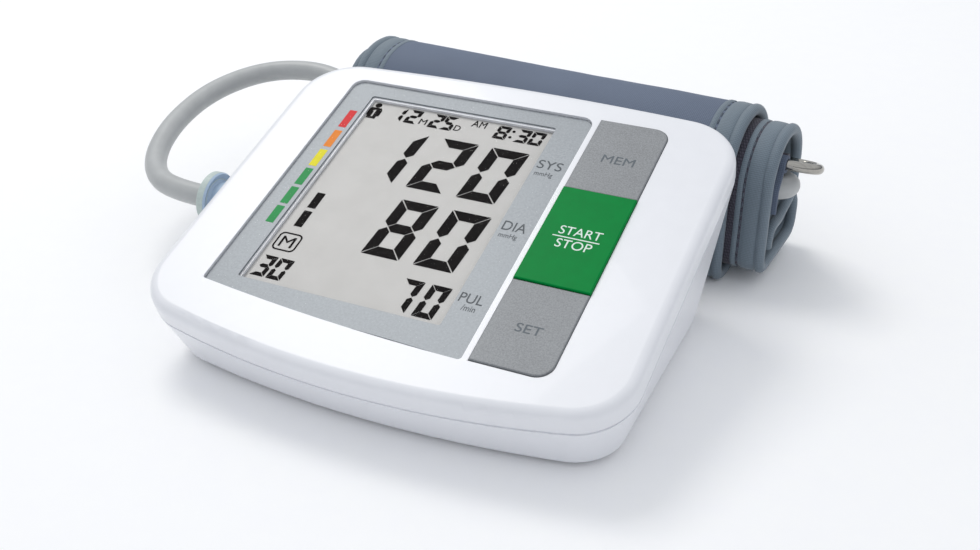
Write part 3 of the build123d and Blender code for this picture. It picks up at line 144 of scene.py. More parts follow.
def grain(name, light, dark, size, rough, bump, stretch=(1, 1, 1), contrast=(0.35, 0.65), **sockets):
    """A solid finish: its grain, size mm across, drifts between two shades and is bump mm deep."""
    made, tree, shader = new_material(name, **sockets)
    place = add_node(tree, "ShaderNodeTexCoord", {})
    turned = add_node(tree, "ShaderNodeMapping", {"Scale": stretch}, {"Vector": place.outputs["Object"]})
    cells = add_node(
        tree, "ShaderNodeTexNoise", {"Scale": 1000 / size, "Detail": 4.0}, {"Vector": turned.outputs[0]}
    )
    drift = add_node(
        tree, "ShaderNodeTexNoise", {"Scale": 35.0, "Detail": 2.0}, {"Vector": place.outputs["Object"]}
    )
    both = add_node(tree, "ShaderNodeMath", {"operation": "MULTIPLY_ADD", 1: 0.75}, {0: cells.outputs[0]})
    quarter = add_node(tree, "ShaderNodeMath", {"operation": "MULTIPLY", 1: 0.25}, {0: drift.outputs[0]})
    tree.links.new(quarter.outputs[0], both.inputs[2])
    ramp = add_node(tree, "ShaderNodeValToRGB", {}, {"Fac": both.outputs[0]})
    ramp.color_ramp.elements[0].position, ramp.color_ramp.elements[1].position = contrast
    ramp.color_ramp.elements[0].color = linear(dark)
    ramp.color_ramp.elements[1].color = linear(light)
    gloss = add_node(
        tree, "ShaderNodeMapRange", {"To Min": rough[0], "To Max": rough[1]}, {"Value": both.outputs[0]}
    )
    lift = add_node(
        tree, "ShaderNodeBump", {"Strength": 1.0, "Distance": bump * MM}, {"Height": cells.outputs[0]}
    )
    tree.links.new(ramp.outputs["Color"], shader.inputs["Base Color"])
    tree.links.new(gloss.outputs["Result"], shader.inputs["Roughness"])
    tree.links.new(lift.outputs["Normal"], shader.inputs["Normal"])
    return made


def cloth(name, light, dark, warp, weft, rough, bump, skew=0.0, **sockets):
    """A woven finish on the piece's UV map, in metres: warp and weft are the thread spacings in mm."""
    made, tree, shader = new_material(name, **sockets)
    place = add_node(tree, "ShaderNodeTexCoord", {})
    split = add_node(tree, "ShaderNodeSeparateXYZ", {}, {0: place.outputs["UV"]})
    threads = []
    for axis, spacing, lean in ((0, warp, skew), (1, weft, 0.0)):
        other = add_node(
            tree, "ShaderNodeMath", {"operation": "MULTIPLY_ADD", 1: lean}, {0: split.outputs[1 - axis]}
        )
        tree.links.new(split.outputs[axis], other.inputs[2])
        turn = add_node(
            tree, "ShaderNodeMath", {"operation": "MULTIPLY", 1: math.pi * 1000 / spacing},
            {0: other.outputs[0]},
        )
        wave = add_node(tree, "ShaderNodeMath", {"operation": "SINE"}, {0: turn.outputs[0]})
        threads.append(add_node(tree, "ShaderNodeMath", {"operation": "ABSOLUTE"}, {0: wave.outputs[0]}))
    weave = add_node(
        tree, "ShaderNodeMath", {"operation": "MULTIPLY"},
        {0: threads[0].outputs[0], 1: threads[1].outputs[0]},
    )
    fuzz, drift = (
        add_node(
            tree, "ShaderNodeTexNoise", {"Scale": scale, "Detail": 3.0}, {"Vector": place.outputs["Object"]}
        )
        for scale in (1400.0, 28.0)
    )
    worn = add_node(tree, "ShaderNodeMath", {"operation": "MULTIPLY_ADD", 1: 0.35}, {0: fuzz.outputs[0]})
    tree.links.new(weave.outputs[0], worn.inputs[2])
    tone = add_node(
        tree, "ShaderNodeMath", {"operation": "MULTIPLY_ADD", 1: 0.8, 2: -0.4}, {0: drift.outputs[0]}
    )
    mixed = add_node(tree, "ShaderNodeMath", {"operation": "ADD"}, {0: worn.outputs[0], 1: tone.outputs[0]})
    ramp = add_node(tree, "ShaderNodeValToRGB", {}, {"Fac": mixed.outputs[0]})
    ramp.color_ramp.elements[0].position, ramp.color_ramp.elements[1].position = 0.1, 0.95
    ramp.color_ramp.elements[0].color = linear(dark)
    ramp.color_ramp.elements[1].color = linear(light)
    gloss = add_node(
        tree, "ShaderNodeMapRange", {"To Min": rough[1], "To Max": rough[0]}, {"Value": worn.outputs[0]}
    )
    lift = add_node(
        tree, "ShaderNodeBump", {"Strength": 1.0, "Distance": bump * MM}, {"Height": worn.outputs[0]}
    )
    tree.links.new(ramp.outputs["Color"], shader.inputs["Base Color"])
    tree.links.new(gloss.outputs["Result"], shader.inputs["Roughness"])
    tree.links.new(lift.outputs["Normal"], shader.inputs["Normal"])
    return made


# moulded ABS, polished tool: nearly smooth, with a faint orange peel under the gloss
WHITE_ABS = grain(
    "polished_white_abs", "#ECEDF1", "#EAEBEF", 6.0, (0.26, 0.34), 0.004, IOR=1.5, Coat_Weight=0.1
)
# clear acrylic window: a see-through skin, so only a faint gloss is seen
CLEAR_ACRYLIC = new_material(
    "clear_acrylic", Base_Color=linear("#3C3E40"), Roughness=0.05, IOR=1.49, Specular_IOR_Level=0.12,
    Alpha=0.02
)[0]
# ink printed on the back of the window: silver grey with fine metal flakes
SILVER_INK = grain("silver_printed_ink", "#9CA1A6", "#8B9095", 0.6, (0.34, 0.5), 0.004, Metallic=0.2)
# reflective display: warm grey glass with a soft satin polariser on it
LCD_GLASS = grain("lcd_polariser_film", "#C4C2BF", "#BBB9B6", 9.0, (0.34, 0.42), 0.002, IOR=1.49)
LCD_INK = grain("lcd_segment_dark", "#1A1717", "#141112", 3.0, (0.5, 0.6), 0.002, Specular_IOR_Level=0.02)
# keys: silver paint with coarse flakes under a matt lacquer, which gives the speckle
KEY_PAINT = grain(
    "speckled_silver_paint", "#94979A", "#77797C", 0.42, (0.42, 0.6), 0.012, contrast=(0.34, 0.66),
    Metallic=0.3
)
GREEN_PAINT = grain(
    "satin_green_lacquer", "#00873D", "#00813A", 4.0, (0.34, 0.42), 0.003, Specular_IOR_Level=0.06
)
# inks printed on the keys and on the window
LABEL_DARK = grain("printed_slate_ink", "#566068", "#4A545C", 1.0, (0.45, 0.55), 0.002)
LABEL_GREY = grain("printed_grey_ink", "#424A51", "#383F46", 1.0, (0.45, 0.55), 0.002)
LABEL_WHITE = grain("printed_white_ink", "#E6F1EA", "#D9E8DF", 1.0, (0.4, 0.5), 0.002)
BAR_INKS = [
    grain(name, light, dark, 2.0, (0.35, 0.45), 0.003, Specular_IOR_Level=0.15)
    for name, light, dark in (
        ("red_bar_ink", "#DE2128", "#D11A22"),
        ("orange_bar_ink", "#F08A1D", "#E78016"),
        ("yellow_bar_ink", "#EBE015", "#E2D60F"),
        ("green_bar_ink", "#14954A", "#0E8B42"),
    )
]
# soft PVC hose: smooth neutral grey, with a low waxy gloss
HOSE_PVC = grain("soft_pvc_hose", "#B5B7B7", "#AEB0B0", 5.0, (0.36, 0.46), 0.006, IOR=1.52)
# hose plug: pale grey-green disc, and pale blue between the disc and the case
PLUG_ABS = grain("moulded_pale_grey_abs", "#C3CFCB", "#B5C2BE", 0.8, (0.4, 0.52), 0.02)
# polished and plated steel wire: a mirror with faint drawing marks along it
CHROME = grain(
    "chromed_steel_wire", "#B4B1AA", "#A3A09A", 0.6, (0.05, 0.1), 0.002, stretch=(0.08, 1, 1), Metallic=1.0
)
# metals inside the case
ZINC = grain("zinc_plated_steel", "#B9B9B6", "#9C9C99", 1.2, (0.3, 0.5), 0.01, Metallic=1.0)
BRASS = grain("nickelled_brass", "#C9BE96", "#AFA47C", 1.2, (0.25, 0.4), 0.01, Metallic=1.0)
FOIL = grain("brushed_foil", "#CFCFCF", "#BDBDBD", 0.8, (0.35, 0.5), 0.01, stretch=(0.1, 1, 1), Metallic=0.9)
# rubbers and foam: feet and seals, tubes and gaskets, and the pump's cushion; the grey rubber also colours
# the dark ring round the window, which is painted shade
BLACK_RUBBER = grain("black_rubber", "#2B2B2C", "#1C1C1D", 0.6, (0.6, 0.8), 0.04)
GREY_RUBBER = grain("grey_silicone_rubber", "#7C8184", "#6E7376", 0.8, (0.5, 0.65), 0.03)
FOAM = grain("open_cell_foam", "#4A4A4C", "#1F1F20", 0.9, (0.85, 0.95), 0.25, contrast=(0.3, 0.7))
# plastics inside the case, as moulded
GREY_ABS = grain("grey_display_frame", "#A9A8A6", "#A09F9D", 1.0, (0.45, 0.55), 0.01)
NATURAL_ABS = grain("natural_abs", "#DAD8CF", "#CCCAC0", 1.0, (0.42, 0.55), 0.02)
BLACK_ABS = grain("black_glass_filled_plastic", "#2E2E30", "#1D1D1F", 0.7, (0.45, 0.6), 0.03)
SOLDER_MASK = grain("green_solder_mask", "#1E6B3C", "#155A30", 1.5, (0.25, 0.4), 0.02, IOR=1.52)
CELL_SLEEVE = grain("printed_cell_sleeve", "#2F5C8F", "#274F7D", 3.0, (0.25, 0.35), 0.01, Metallic=0.5)
RED_NYLON = grain("acetal_plunger", "#C9603A", "#B95431", 1.0, (0.35, 0.45), 0.02)
# cover: tight slate nylon weave with a brushed face
COVER_CLOTH = cloth(
    "brushed_slate_nylon", "#667286", "#525D70", 0.6, 0.6, (0.62, 0.8), 0.03, Sheen_Weight=0.2,
    Sheen_Roughness=0.45, Sheen_Tint=linear("#AEB8CC"),
)
# lining: dark spacer mesh, whose holes show as a fine dark grid
LINING_MESH = cloth(
    "dark_spacer_mesh", "#4C4A58", "#2B2934", 1.0, 1.0, (0.7, 0.85), 0.1, skew=0.5, Sheen_Weight=0.2
)
# binding: ribbed grosgrain tape, ribs straight across it
BINDING_TAPE = cloth(
    "ribbed_binding_tape", "#76848F", "#5E6B76", 0.45, 0.6, (0.6, 0.75), 0.012, Sheen_Weight=0.2,
    Sheen_Roughness=0.5,
)
# stitching thread, the hook tape inside the free end, and the welded film of the bladder
THREAD = grain("twisted_polyester_thread", "#5A6673", "#3A434E", 0.4, (0.5, 0.65), 0.05)
HOOKS = grain("nylon_hook_tape", "#3A3F45", "#1D2024", 0.7, (0.6, 0.8), 0.4, contrast=(0.45, 0.55))
BLADDER_FILM = grain("grey_bladder_film", "#6F7073", "#616265", 5.0, (0.35, 0.5), 0.1)

FINISHES = {
    WHITE_ABS: "top_cover bottom_case battery_door",
    CLEAR_ACRYLIC: "display_lens",
    LCD_GLASS: "lcd_glass",
    GREY_ABS: "lcd_frame",
    FOIL: "lcd_reflector",
    NATURAL_ABS: "pump_housing pump_cap air_tee air_socket",
    BLACK_ABS: "buzzer key_switches controller_chip memory_chip pressure_sensor power_jack release_valve",
    BLACK_RUBBER: "zebra_strips rubber_feet plug_seal",
    GREY_RUBBER: "pump_diaphragm pump_tube valve_tube socket_tube",
    FOAM: "pump_cushion",
    SOLDER_MASK: "circuit_board",
    KEY_PAINT: "set_key memory_key",
    GREEN_PAINT: "start_stop_key",
    RED_NYLON: "set_plunger start_stop_plunger memory_plunger pump_eccentric",
    ZINC: "pump_motor pump_shaft valve_plunger case_screws board_screws",
    BRASS: "contact_plates contact_springs",
    CELL_SLEEVE: "batteries",
    CHROME: "cuff_ring",
    PLUG_ABS: "air_plug cuff_port",
}


def second_colour(finish, code, start):
    """Turns a finish to another colour where x is over start, in mm."""
    tree, shader = finish.node_tree, finish.node_tree.nodes["Principled BSDF"]
    place = add_node(tree, "ShaderNodeTexCoord", {})
    apart = add_node(tree, "ShaderNodeSeparateXYZ", {}, {0: place.outputs["Object"]})
    beyond = add_node(
        tree, "ShaderNodeMath", {"operation": "GREATER_THAN", 1: start * MM}, {0: apart.outputs["X"]}
    )
    both = add_node(
        tree, "ShaderNodeMix", {"data_type": "RGBA", "B": linear(code)},
        {"Factor": beyond.outputs[0], "A": shader.inputs["Base Color"].links[0].from_socket},
    )
    tree.links.new(both.outputs["Result"], shader.inputs["Base Color"])


second_colour(PLUG_ABS, "#A9BDD2", CASE_X + BLUE_FROM)
for finish, names in FINISHES.items():
    for node_name in names.split():
        mesh = nodes[node_name].data
        mesh.materials.clear()
        mesh.materials.append(finish)


# ------------------------------------------------------------------ making pieces
def alone(piece):
    """Makes the piece the only one selected, and active."""
    bpy.ops.object.select_all(action="DESELECT")
    piece.select_set(True)
    bpy.context.view_layer.objects.active = piece


def tidy_up(piece):
    """Merges what lies together and turns all faces outwards."""
    alone(piece)
    bpy.ops.object.mode_set(mode="EDIT")
    bpy.ops.mesh.select_all(action="SELECT")
    bpy.ops.mesh.remove_doubles(threshold=0.000004)
    bpy.ops.mesh.normals_make_consistent(inside=False)
    bpy.ops.object.mode_set(mode="OBJECT")


def finish_with(piece, kind, **settings):
    """Adds a modifier and applies it."""
    alone(piece)
    modifier = piece.modifiers.new(kind.lower(), kind)
    for key, value in settings.items():
        setattr(modifier, key, value)
    bpy.ops.object.modifier_apply(modifier=modifier.name)


def dress(piece, finish, body):
    """Gives a finished piece its material and body."""
    piece.data.materials.clear()
    piece.data.materials.append(finish)
    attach(piece, body)
    return piece


def joined(name, parts):
    """Joins pieces to one."""
    bpy.ops.object.select_all(action="DESELECT")
    for part in parts:
        part.select_set(True)
    bpy.context.view_layer.objects.active = parts[0]
    bpy.ops.object.join()
    parts[0].name = parts[0].data.name = name
    return parts[0]


def cut_flat(name, loops, low, high, edge=0.0):
    """A flat piece cut to closed outlines on the panel, from low to high above it; inner loops are holes."""
    outline = bpy.data.curves.new(name, "CURVE")
    outline.dimensions, outline.fill_mode = "2D", "BOTH"
    outline.extrude = (high - low) / 2 - edge
    outline.bevel_depth = edge
    outline.offset = -edge
    for loop in loops:
        spline = outline.splines.new("POLY")
        spline.points.add(len(loop) - 1)
        for point, (x, v) in zip(spline.points, loop):
            point.co = (x, v, 0, 1)
        spline.use_cyclic_u = True
    piece = bpy.data.objects.new(name, outline)
    scene.collection.objects.link(piece)
    alone(piece)
    bpy.ops.object.convert(target="MESH")
    piece = bpy.context.view_layer.objects.active
    piece.data.transform(PANEL @ Matrix.Translation((0, 0, (low + high) / 2)))
    tidy_up(piece)
    return piece


def lettering(name, words, left, low, width, height, base, thick=0.04):
    """Printed words on the panel, fitted into a box whose lower left corner is given."""
    bpy.ops.object.select_all(action="DESELECT")
    bpy.ops.object.text_add()
    piece = bpy.context.view_layer.objects.active
    piece.data.body = words
    piece.data.extrude = thick / 2
    bpy.ops.object.convert(target="MESH")
    piece = bpy.context.view_layer.objects.active
    piece.name = piece.data.name = name
    spans = [[vert.co[i] for vert in piece.data.vertices] for i in (0, 1)]
    grow = [size / (max(span) - min(span)) for size, span in zip((width, height), spans)]
    place = Matrix.Translation(
        (left - min(spans[0]) * grow[0], low - min(spans[1]) * grow[1], base + thick / 2)
    )
    piece.data.transform(PANEL @ place @ Matrix.Diagonal((grow[0], grow[1], 1, 1)))
    tidy_up(piece)
    return piece


def arc(middle, radius, start, stop, steps):
    """Points round part of a circle, angles in degrees."""
    turns = [math.radians(start + (stop - start) * i / steps) for i in range(steps + 1)]
    return [(middle[0] + radius * math.cos(t), middle[1] + radius * math.sin(t)) for t in turns]


def round_box(left, low, right, high, radius):
    """Outline of a box with round corners."""
    return [
        point
        for x, v, start in (
            (right - radius, high - radius, 0), (left + radius, high - radius, 90),
            (left + radius, low + radius, 180), (right - radius, low + radius, 270),
        )
        for point in arc((x, v), radius, start, start + 90, 6)
    ]


# ------------------------------------------------------------------ hose
HOSE_ROUTE = [
    at(CASE_X + PLUG_END, CASE_Y + SOCKET_Y, SOCKET_Z),
    at(-109.0, CASE_Y + SOCKET_Y, SOCKET_Z),
    at(-122.0, -20.0, 29.3),
    at(-132.0, -6.0, 31.0),
    at(-138.5, 15.0, 34.0),
    at(-139.0, 39.0, 36.8),
    at(-130.0, 60.0, 38.5),
    at(-113.0, 69.0, 38.5),
    at(-96.0, 66.5, 36.5),
    in_roll(-70.0, -8.0, 33.6),
    in_roll(-38.0, -8.6, 32.2),
    in_roll(0.0, -8.8, 31.8),
    in_roll(36.0, -8.6, 32.4),
    in_roll(62.0, -8.4, 33.0),
    in_roll(85.5, -8.4, 33.2),
    in_roll(85.5, 8.2, 29.5),
    in_roll(60.0, 8.2, 29.8),
    in_roll(22.0, 8.4, 30.8),
    in_roll(-8.0, PORT_B, PORT_Z),
    in_roll(PORT_A, PORT_B, PORT_Z),
]
route = bpy.data.curves.new("hose_tube", "CURVE")
route.dimensions = "3D"
line = route.splines.new("NURBS")
line.points.add(len(HOSE_ROUTE) - 1)
for point, place in zip(line.points, HOSE_ROUTE):
    point.co = (*place, 1)
line.order_u = 3
line.use_endpoint_u = True
line.resolution_u = 14
route.bevel_depth = HOSE_R * MM
route.bevel_resolution = 8
route.use_fill_caps = True
hose = bpy.data.objects.new("hose_tube", route)
scene.collection.objects.link(hose)
dress(hose, HOSE_PVC, "cuff")
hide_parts("air_hose")

# ------------------------------------------------------------------ printed window
WINDOW_LEFT, WINDOW_RIGHT, WINDOW_FRONT, WINDOW_REAR = -48.7, 17.6, 25.6, 112.9
LENS_LEFT, LENS_RIGHT, LENS_FRONT, LENS_REAR = -57.8, 28.4, 17.25, 119.05
LENS_CORNER = 3.8
PRINT_LOW, PRINT_TOP, BAR_TOP = -1.2, -0.9, -0.86


def lens_front(x):
    """Front edge of the window: it rises to the left and falls a little to the right."""
    rise = 4.1 * max(0.0, (WINDOW_LEFT + 32 - x) / 42.0) ** 2
    fall = 1.5 * max(0.0, (x + 15) / 43.0) ** 2
    return LENS_FRONT + rise - fall


front_edge = [(x, lens_front(x)) for x in [LENS_LEFT + (LENS_RIGHT - LENS_LEFT) * i / 24 for i in range(25)]]
border = (
    front_edge
    + arc((LENS_RIGHT - LENS_CORNER, LENS_REAR - LENS_CORNER), LENS_CORNER, 0, 90, 6)
    + arc((LENS_LEFT + LENS_CORNER, LENS_REAR - LENS_CORNER), LENS_CORNER, 90, 180, 6)
)
window = round_box(WINDOW_LEFT, WINDOW_FRONT, WINDOW_RIGHT, WINDOW_REAR, 0.8)
dress(cut_flat("window_print", [border, window], PRINT_LOW, PRINT_TOP), SILVER_INK, "monitor")
# dark grey ring between the window and the display glass: painted shade, standing for the shadow on the walls
# of the window's recess
SHADE_RING_WIDTH, SHADE_RING_GAP = 0.6, 0.05
shade_ring_outline = round_box(
    WINDOW_LEFT - SHADE_RING_WIDTH, WINDOW_FRONT - SHADE_RING_WIDTH, WINDOW_RIGHT + SHADE_RING_WIDTH, WINDOW_REAR + SHADE_RING_WIDTH, 1.2
)
painted_shade_ring = cut_flat("window_shade_ring", [shade_ring_outline, window], GLASS_TOP + SHADE_RING_GAP, PRINT_LOW - SHADE_RING_GAP)
dress(painted_shade_ring, GREY_RUBBER, "monitor")

BAR_LEFT, BAR_WIDTH = -52.8, 2.75
# front and rear end of each bar, and its ink
BARS = [
    (48.3, 55.9, 3), (57.1, 64.8, 3), (66.1, 74.0, 3), (75.3, 83.4, 2), (85.0, 93.4, 1), (95.2, 104.0, 0),
]
for number, (low, high, ink) in enumerate(BARS, 1):
    strip = cut_flat(
        f"range_bar_{number}", [round_box(BAR_LEFT, low, BAR_LEFT + BAR_WIDTH, high, 0.1)], PRINT_TOP, BAR_TOP
    )
    dress(strip, BAR_INKS[ink], "monitor")

# each word with its left and front edge, width and height
SIDE_WORDS = [
    ("SYS", 18.4, 93.6, 8.0, 3.8), ("DIA", 18.7, 65.4, 7.5, 3.8), ("PUL", 18.4, 35.5, 7.3, 3.5),
    ("mmHg", 18.9, 89.8, 5.9, 2.4), ("mmHg", 19.0, 61.8, 5.8, 2.4), ("/min", 20.5, 32.6, 4.2, 2.2),
]
printed = [
    lettering(f"side_word_{i}", words, left, low, width, height, PRINT_TOP)
    for i, (words, left, low, width, height) in enumerate(SIDE_WORDS)
]
dress(joined("side_words", printed), LABEL_GREY, "monitor")

# ------------------------------------------------------------------ display segments
LIT = {
    "0": "abcdef", "1": "bc", "2": "abged", "3": "abgcd", "5": "afgcd", "7": "abc", "8": "abcdefg",
}


def digit(sign, left, low, width, height, thick, gap=0.28, lean=0.078):
    """Outlines of one figure's lit segments, with mitred ends and a slight lean."""
    top, mid, right = height, height / 2, width
    half, hair = thick / 2, gap / 2
    shapes = {
        "a": [(gap, top), (right - gap, top), (right - thick - hair, top - thick),
              (thick + hair, top - thick)],
        "d": [(gap, 0), (thick + hair, thick), (right - thick - hair, thick), (right - gap, 0)],
        "f": [(0, top - gap), (thick, top - thick - gap), (thick, mid + half + hair), (half, mid + gap),
              (0, mid + half + hair)],
        "e": [(0, gap), (0, mid - half - hair), (half, mid - gap), (thick, mid - half - hair),
              (thick, thick + gap)],
        "g": [(half + gap, mid), (thick + gap, mid + half), (right - thick - gap, mid + half),
              (right - half - gap, mid), (right - thick - gap, mid - half), (thick + gap, mid - half)],
    }
    shapes["b"] = [(right - x, v) for x, v in shapes["f"]]
    shapes["c"] = [(right - x, v) for x, v in shapes["e"]]
    return [[(left + x + lean * v, low + v) for x, v in shapes[key]] for key in LIT[sign]]


# each figure with its left and front edge, width, height and stroke
FIGURES = [
    ("1", -36.2, 76.0, 12.6, 24.4, 3.7), ("2", -18.5, 76.0, 12.6, 24.4, 3.7),
    ("0", -1.2, 76.0, 12.8, 24.4, 3.7),
    ("8", -18.5, 46.0, 12.6, 24.4, 3.7), ("0", -1.2, 46.0, 12.8, 24.4, 3.7),
    ("7", -1.4, 27.8, 6.3, 12.6, 1.95), ("0", 7.2, 27.8, 6.3, 12.6, 1.95),
    ("3", -46.9, 28.4, 4.8, 8.5, 1.4), ("0", -41.3, 28.4, 4.8, 8.5, 1.4),
    ("1", -39.4, 104.5, 4.4, 6.7, 1.25), ("2", -33.7, 104.5, 4.4, 6.7, 1.25),
    ("2", -24.9, 104.4, 4.1, 6.8, 1.25), ("5", -20.5, 104.4, 4.1, 6.8, 1.25),
    ("8", -1.7, 104.8, 4.3, 6.3, 1.15), ("3", 5.5, 104.8, 4.3, 6.3, 1.15),
    ("0", 10.4, 104.8, 4.3, 6.3, 1.15),
]
INK_LOW, INK_HIGH = GLASS_TOP + 0.02, GLASS_TOP + 0.1
lit = [
    outline
    for sign, left, low, width, height, thick in FIGURES
    for outline in digit(sign, left, low, width, height, thick, gap=0.28 if height > 20 else 0.16)
]
# marker beside the range bars, the clock's colon, and the box round the memory's letter
lit += [[(-44.3, v), (-41.5, v), (-41.5, v + 7.0), (-44.3, v + 7.0)] for v in (50.4, 58.9)]
lit += [arc((x, v), 0.55, 0, 330, 11) for x, v in ((4.0, 106.5), (4.25, 109.4))]
lit += [round_box(-46.4, 39.7, -38.5, 47.3, 1.7), round_box(-45.9, 40.2, -39.0, 46.8, 1.3)]
# little person with the user's number in it
lit += [
    arc((-45.6, 110.4), 1.15, 0, 345, 23),
    [(-47.2, 103.6), (-43.9, 103.6), (-43.9, 104.9), (-43.1, 105.1), (-43.1, 108.1), (-43.8, 109.1),
     (-47.4, 109.1), (-48.1, 108.1), (-48.1, 105.1), (-47.2, 104.9)],
    [(-45.9, 104.5), (-45.2, 104.5), (-45.2, 108.1), (-45.6, 108.1), (-46.4, 107.5), (-46.2, 107.1),
     (-45.9, 107.3)],
]
SMALL_WORDS = [
    ("M", -28.3, 105.1, 2.6, 2.6), ("D", -15.6, 105.0, 2.2, 2.6), ("AM", -10.6, 108.4, 5.0, 3.0),
    ("M", -44.7, 41.3, 4.5, 4.4),
]
written = [cut_flat("lit_shapes", lit, INK_LOW, INK_HIGH)] + [
    lettering(f"lit_word_{i}", words, left, low, width, height, INK_LOW, 0.08)
    for i, (words, left, low, width, height) in enumerate(SMALL_WORDS)
]
dress(joined("lit_segments", written), LCD_INK, "monitor")

# ------------------------------------------------------------------ key labels
KEY_TOP, START_TOP = 0.5, 1.0
dress(lettering("set_label", "SET", 38.4, 28.9, 7.7, 3.1, KEY_TOP), LABEL_DARK, "set_key")
dress(lettering("memory_label", "MEM", 37.2, 99.9, 10.3, 3.4, KEY_TOP), LABEL_DARK, "memory_key")
rule = cut_flat("start_rule", [round_box(35.1, 65.55, 49.4, 65.95, 0.1)], START_TOP, START_TOP + 0.04)
start_words = [
    lettering("start_word", "START", 36.3, 66.8, 12.9, 3.4, START_TOP),
    lettering("stop_word", "STOP", 37.1, 61.5, 10.8, 3.4, START_TOP),
]
dress(joined("start_stop_label", [rule] + start_words), LABEL_WHITE, "start_stop_key")


# ------------------------------------------------------------------ rolled cuff
def along(points, radii, step):
    """Stations along a line with round corners: place across and up, outward normal, and way so far."""
    raw = [points[0]]
    for before, corner, after, radius in zip(points, points[1:], points[2:], radii):
        into = (Vector(corner) - Vector(before)).normalized()
        out = (Vector(after) - Vector(corner)).normalized()
        turn = into.angle_signed(out)
        reach = radius * math.tan(abs(turn) / 2)
        side = -1 if turn > 0 else 1
        start = Vector(corner) - into * reach
        middle = start + Vector((-into.y, into.x)) * radius * side
        steps = max(3, int(abs(turn) * radius / 1.2))
        for i in range(steps + 1):
            spoke = start - middle
            angle = side * abs(turn) * i / steps
            spoke = Vector((
                spoke.x * math.cos(angle) - spoke.y * math.sin(angle),
                spoke.x * math.sin(angle) + spoke.y * math.cos(angle),
            ))
            raw.append(tuple(middle + spoke))
    raw.append(points[-1])
    stations, way, next_stop = [], 0.0, 0.0
    for start, end in zip(raw, raw[1:]):
        run = Vector(end) - Vector(start)
        if run.length < 1e-6:
            continue
        ahead = run.normalized()
        while next_stop <= way + run.length + 1e-6:
            place = Vector(start) + ahead * (next_stop - way)
            stations.append((place.x, place.y, -ahead.y, ahead.x, next_stop))
            next_stop += step
        way += run.length
    smooth = []
    for i, (b, z, _, _, s) in enumerate(stations):
        first, last = stations[max(i - 1, 0)], stations[min(i + 1, len(stations) - 1)]
        ahead = Vector((last[0] - first[0], last[1] - first[1])).normalized()
        smooth.append((b, z, -ahead.y, ahead.x, s))
    return smooth


def wrap(name, stations, section, thick):
    """A cloth laid along stations; section gives places along the roll and heights off the line."""
    rows = [section(station) for station in stations]
    columns = len(rows[0])
    bpy.ops.object.select_all(action="DESELECT")
    bpy.ops.mesh.primitive_grid_add(x_subdivisions=columns - 1, y_subdivisions=len(rows) - 1, size=1)
    piece = bpy.context.view_layer.objects.active
    piece.name = piece.data.name = name
    places = {}
    for vert in piece.data.vertices:
        column = round((vert.co.x + 0.5) * (columns - 1))
        row = round((vert.co.y + 0.5) * (len(rows) - 1))
        b, z, nb, nz, s = stations[row]
        a, height, across = rows[row][column]
        vert.co = in_roll(a, b + nb * height, z + nz * height)
        places[vert.index] = (across * MM, s * MM)
    threads = piece.data.uv_layers.active.data
    for loop in piece.data.loops:
        threads[loop.index].uv = places[loop.vertex_index]
    if thick:
        finish_with(piece, "SOLIDIFY", thickness=thick * MM, offset=0.0, use_even_offset=True)
    tidy_up(piece)
    alone(piece)
    bpy.ops.object.shade_smooth_by_angle(angle=math.radians(50))
    return piece


def ease(t):
    """Smooth step from 0 to 1."""
    t = min(max(t, 0.0), 1.0)
    return t * t * (3 - 2 * t)


STEP = 2.4
stations = along(SPIRAL, SPIRAL_RADII, STEP)
JOIN = next(s for b, z, nb, nz, s in stations if b > OUTER_HALF - 0.5 and z < JOIN_Z and s > 100)


def ends(s):
    """Left and right end of the cuff along the roll: the inner turn stands out beyond the outer one."""
    t = ease((s - JOIN + 14.0) / 28.0)
    return FLAP_LEFT + (BODY_LEFT - FLAP_LEFT) * t, FLAP_RIGHT + (BODY_RIGHT - FLAP_RIGHT) * t


def dents(a, s, size):
    """Soft unevenness of padded cloth, in mm."""
    return size * noise.noise(Vector((a / 26.0, s / 30.0, 3.1))) + 0.4 * size * noise.noise(
        Vector((a / 9.0, s / 12.0, 8.7))
    )


def broad(height, size, pinch):
    """Section of a broad cloth between the cuff's ends, thinner where the tape holds it."""
    def section(station):
        s = station[4]
        left, right = ends(s)
        count = 64
        rows = []
        for i in range(count + 1):
            a = left + 0.5 + (right - left - 1.0) * i / count
            edge = min(a - left, right - a)
            held = ease(edge / 13.0)
            rows.append((a, height - pinch * (1 - held) + dents(a, s, size) * held, a))
        return rows
    return section


cover = wrap("cuff_outer_cloth", stations, broad(0.95, 0.3, 0.35), 0.9)
dress(cover, COVER_CLOTH, "cuff")
cover.data.materials.append(LINING_MESH)          # the wider inner turn is faced with the mesh
threads = cover.data.uv_layers.active.data
for face in cover.data.polygons:
    face.material_index = int(threads[face.loop_start].uv.y > JOIN * MM)
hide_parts("cuff_cover")
lining = wrap("cuff_inner_mesh", stations, broad(-1.15, 0.2, -0.35), 0.6)
dress(lining, LINING_MESH, "cuff")
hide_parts("cuff_lining")


def taped(side, s):
    """Section of the tape folded round one edge: face, edge and back, with a stitched groove."""
    left, right = ends(s)
    edge = right if side > 0 else left
    face, rows, across = 1.45, [], 0.0
    outline = [
        (11.0, face - 0.15), (10.6, face), (9.7, face), (9.3, face - 0.35), (8.6, face - 0.45),
        (7.9, face - 0.1), (6.5, face + 0.05), (5.0, face), (3.7, face - 0.1), (3.1, face - 0.5),
        (2.6, face - 0.05),
    ]
    rim = [(1.9, face + 0.25), (1.1, face + 0.2), (0.45, face - 0.15), (0.05, face - 0.7), (-0.05, 0.3)]
    for reach, height in outline + rim:
        rows.append((edge - side * reach, height))
    rows += [(a, -h) for a, h in reversed(rows)]
    section = []
    for i, (a, h) in enumerate(rows):
        if i:
            across += math.hypot(a - rows[i - 1][0], h - rows[i - 1][1])
        section.append((a, h + dents(a, s, 0.12) * (1 if h > 0 else -1), across))
    return section


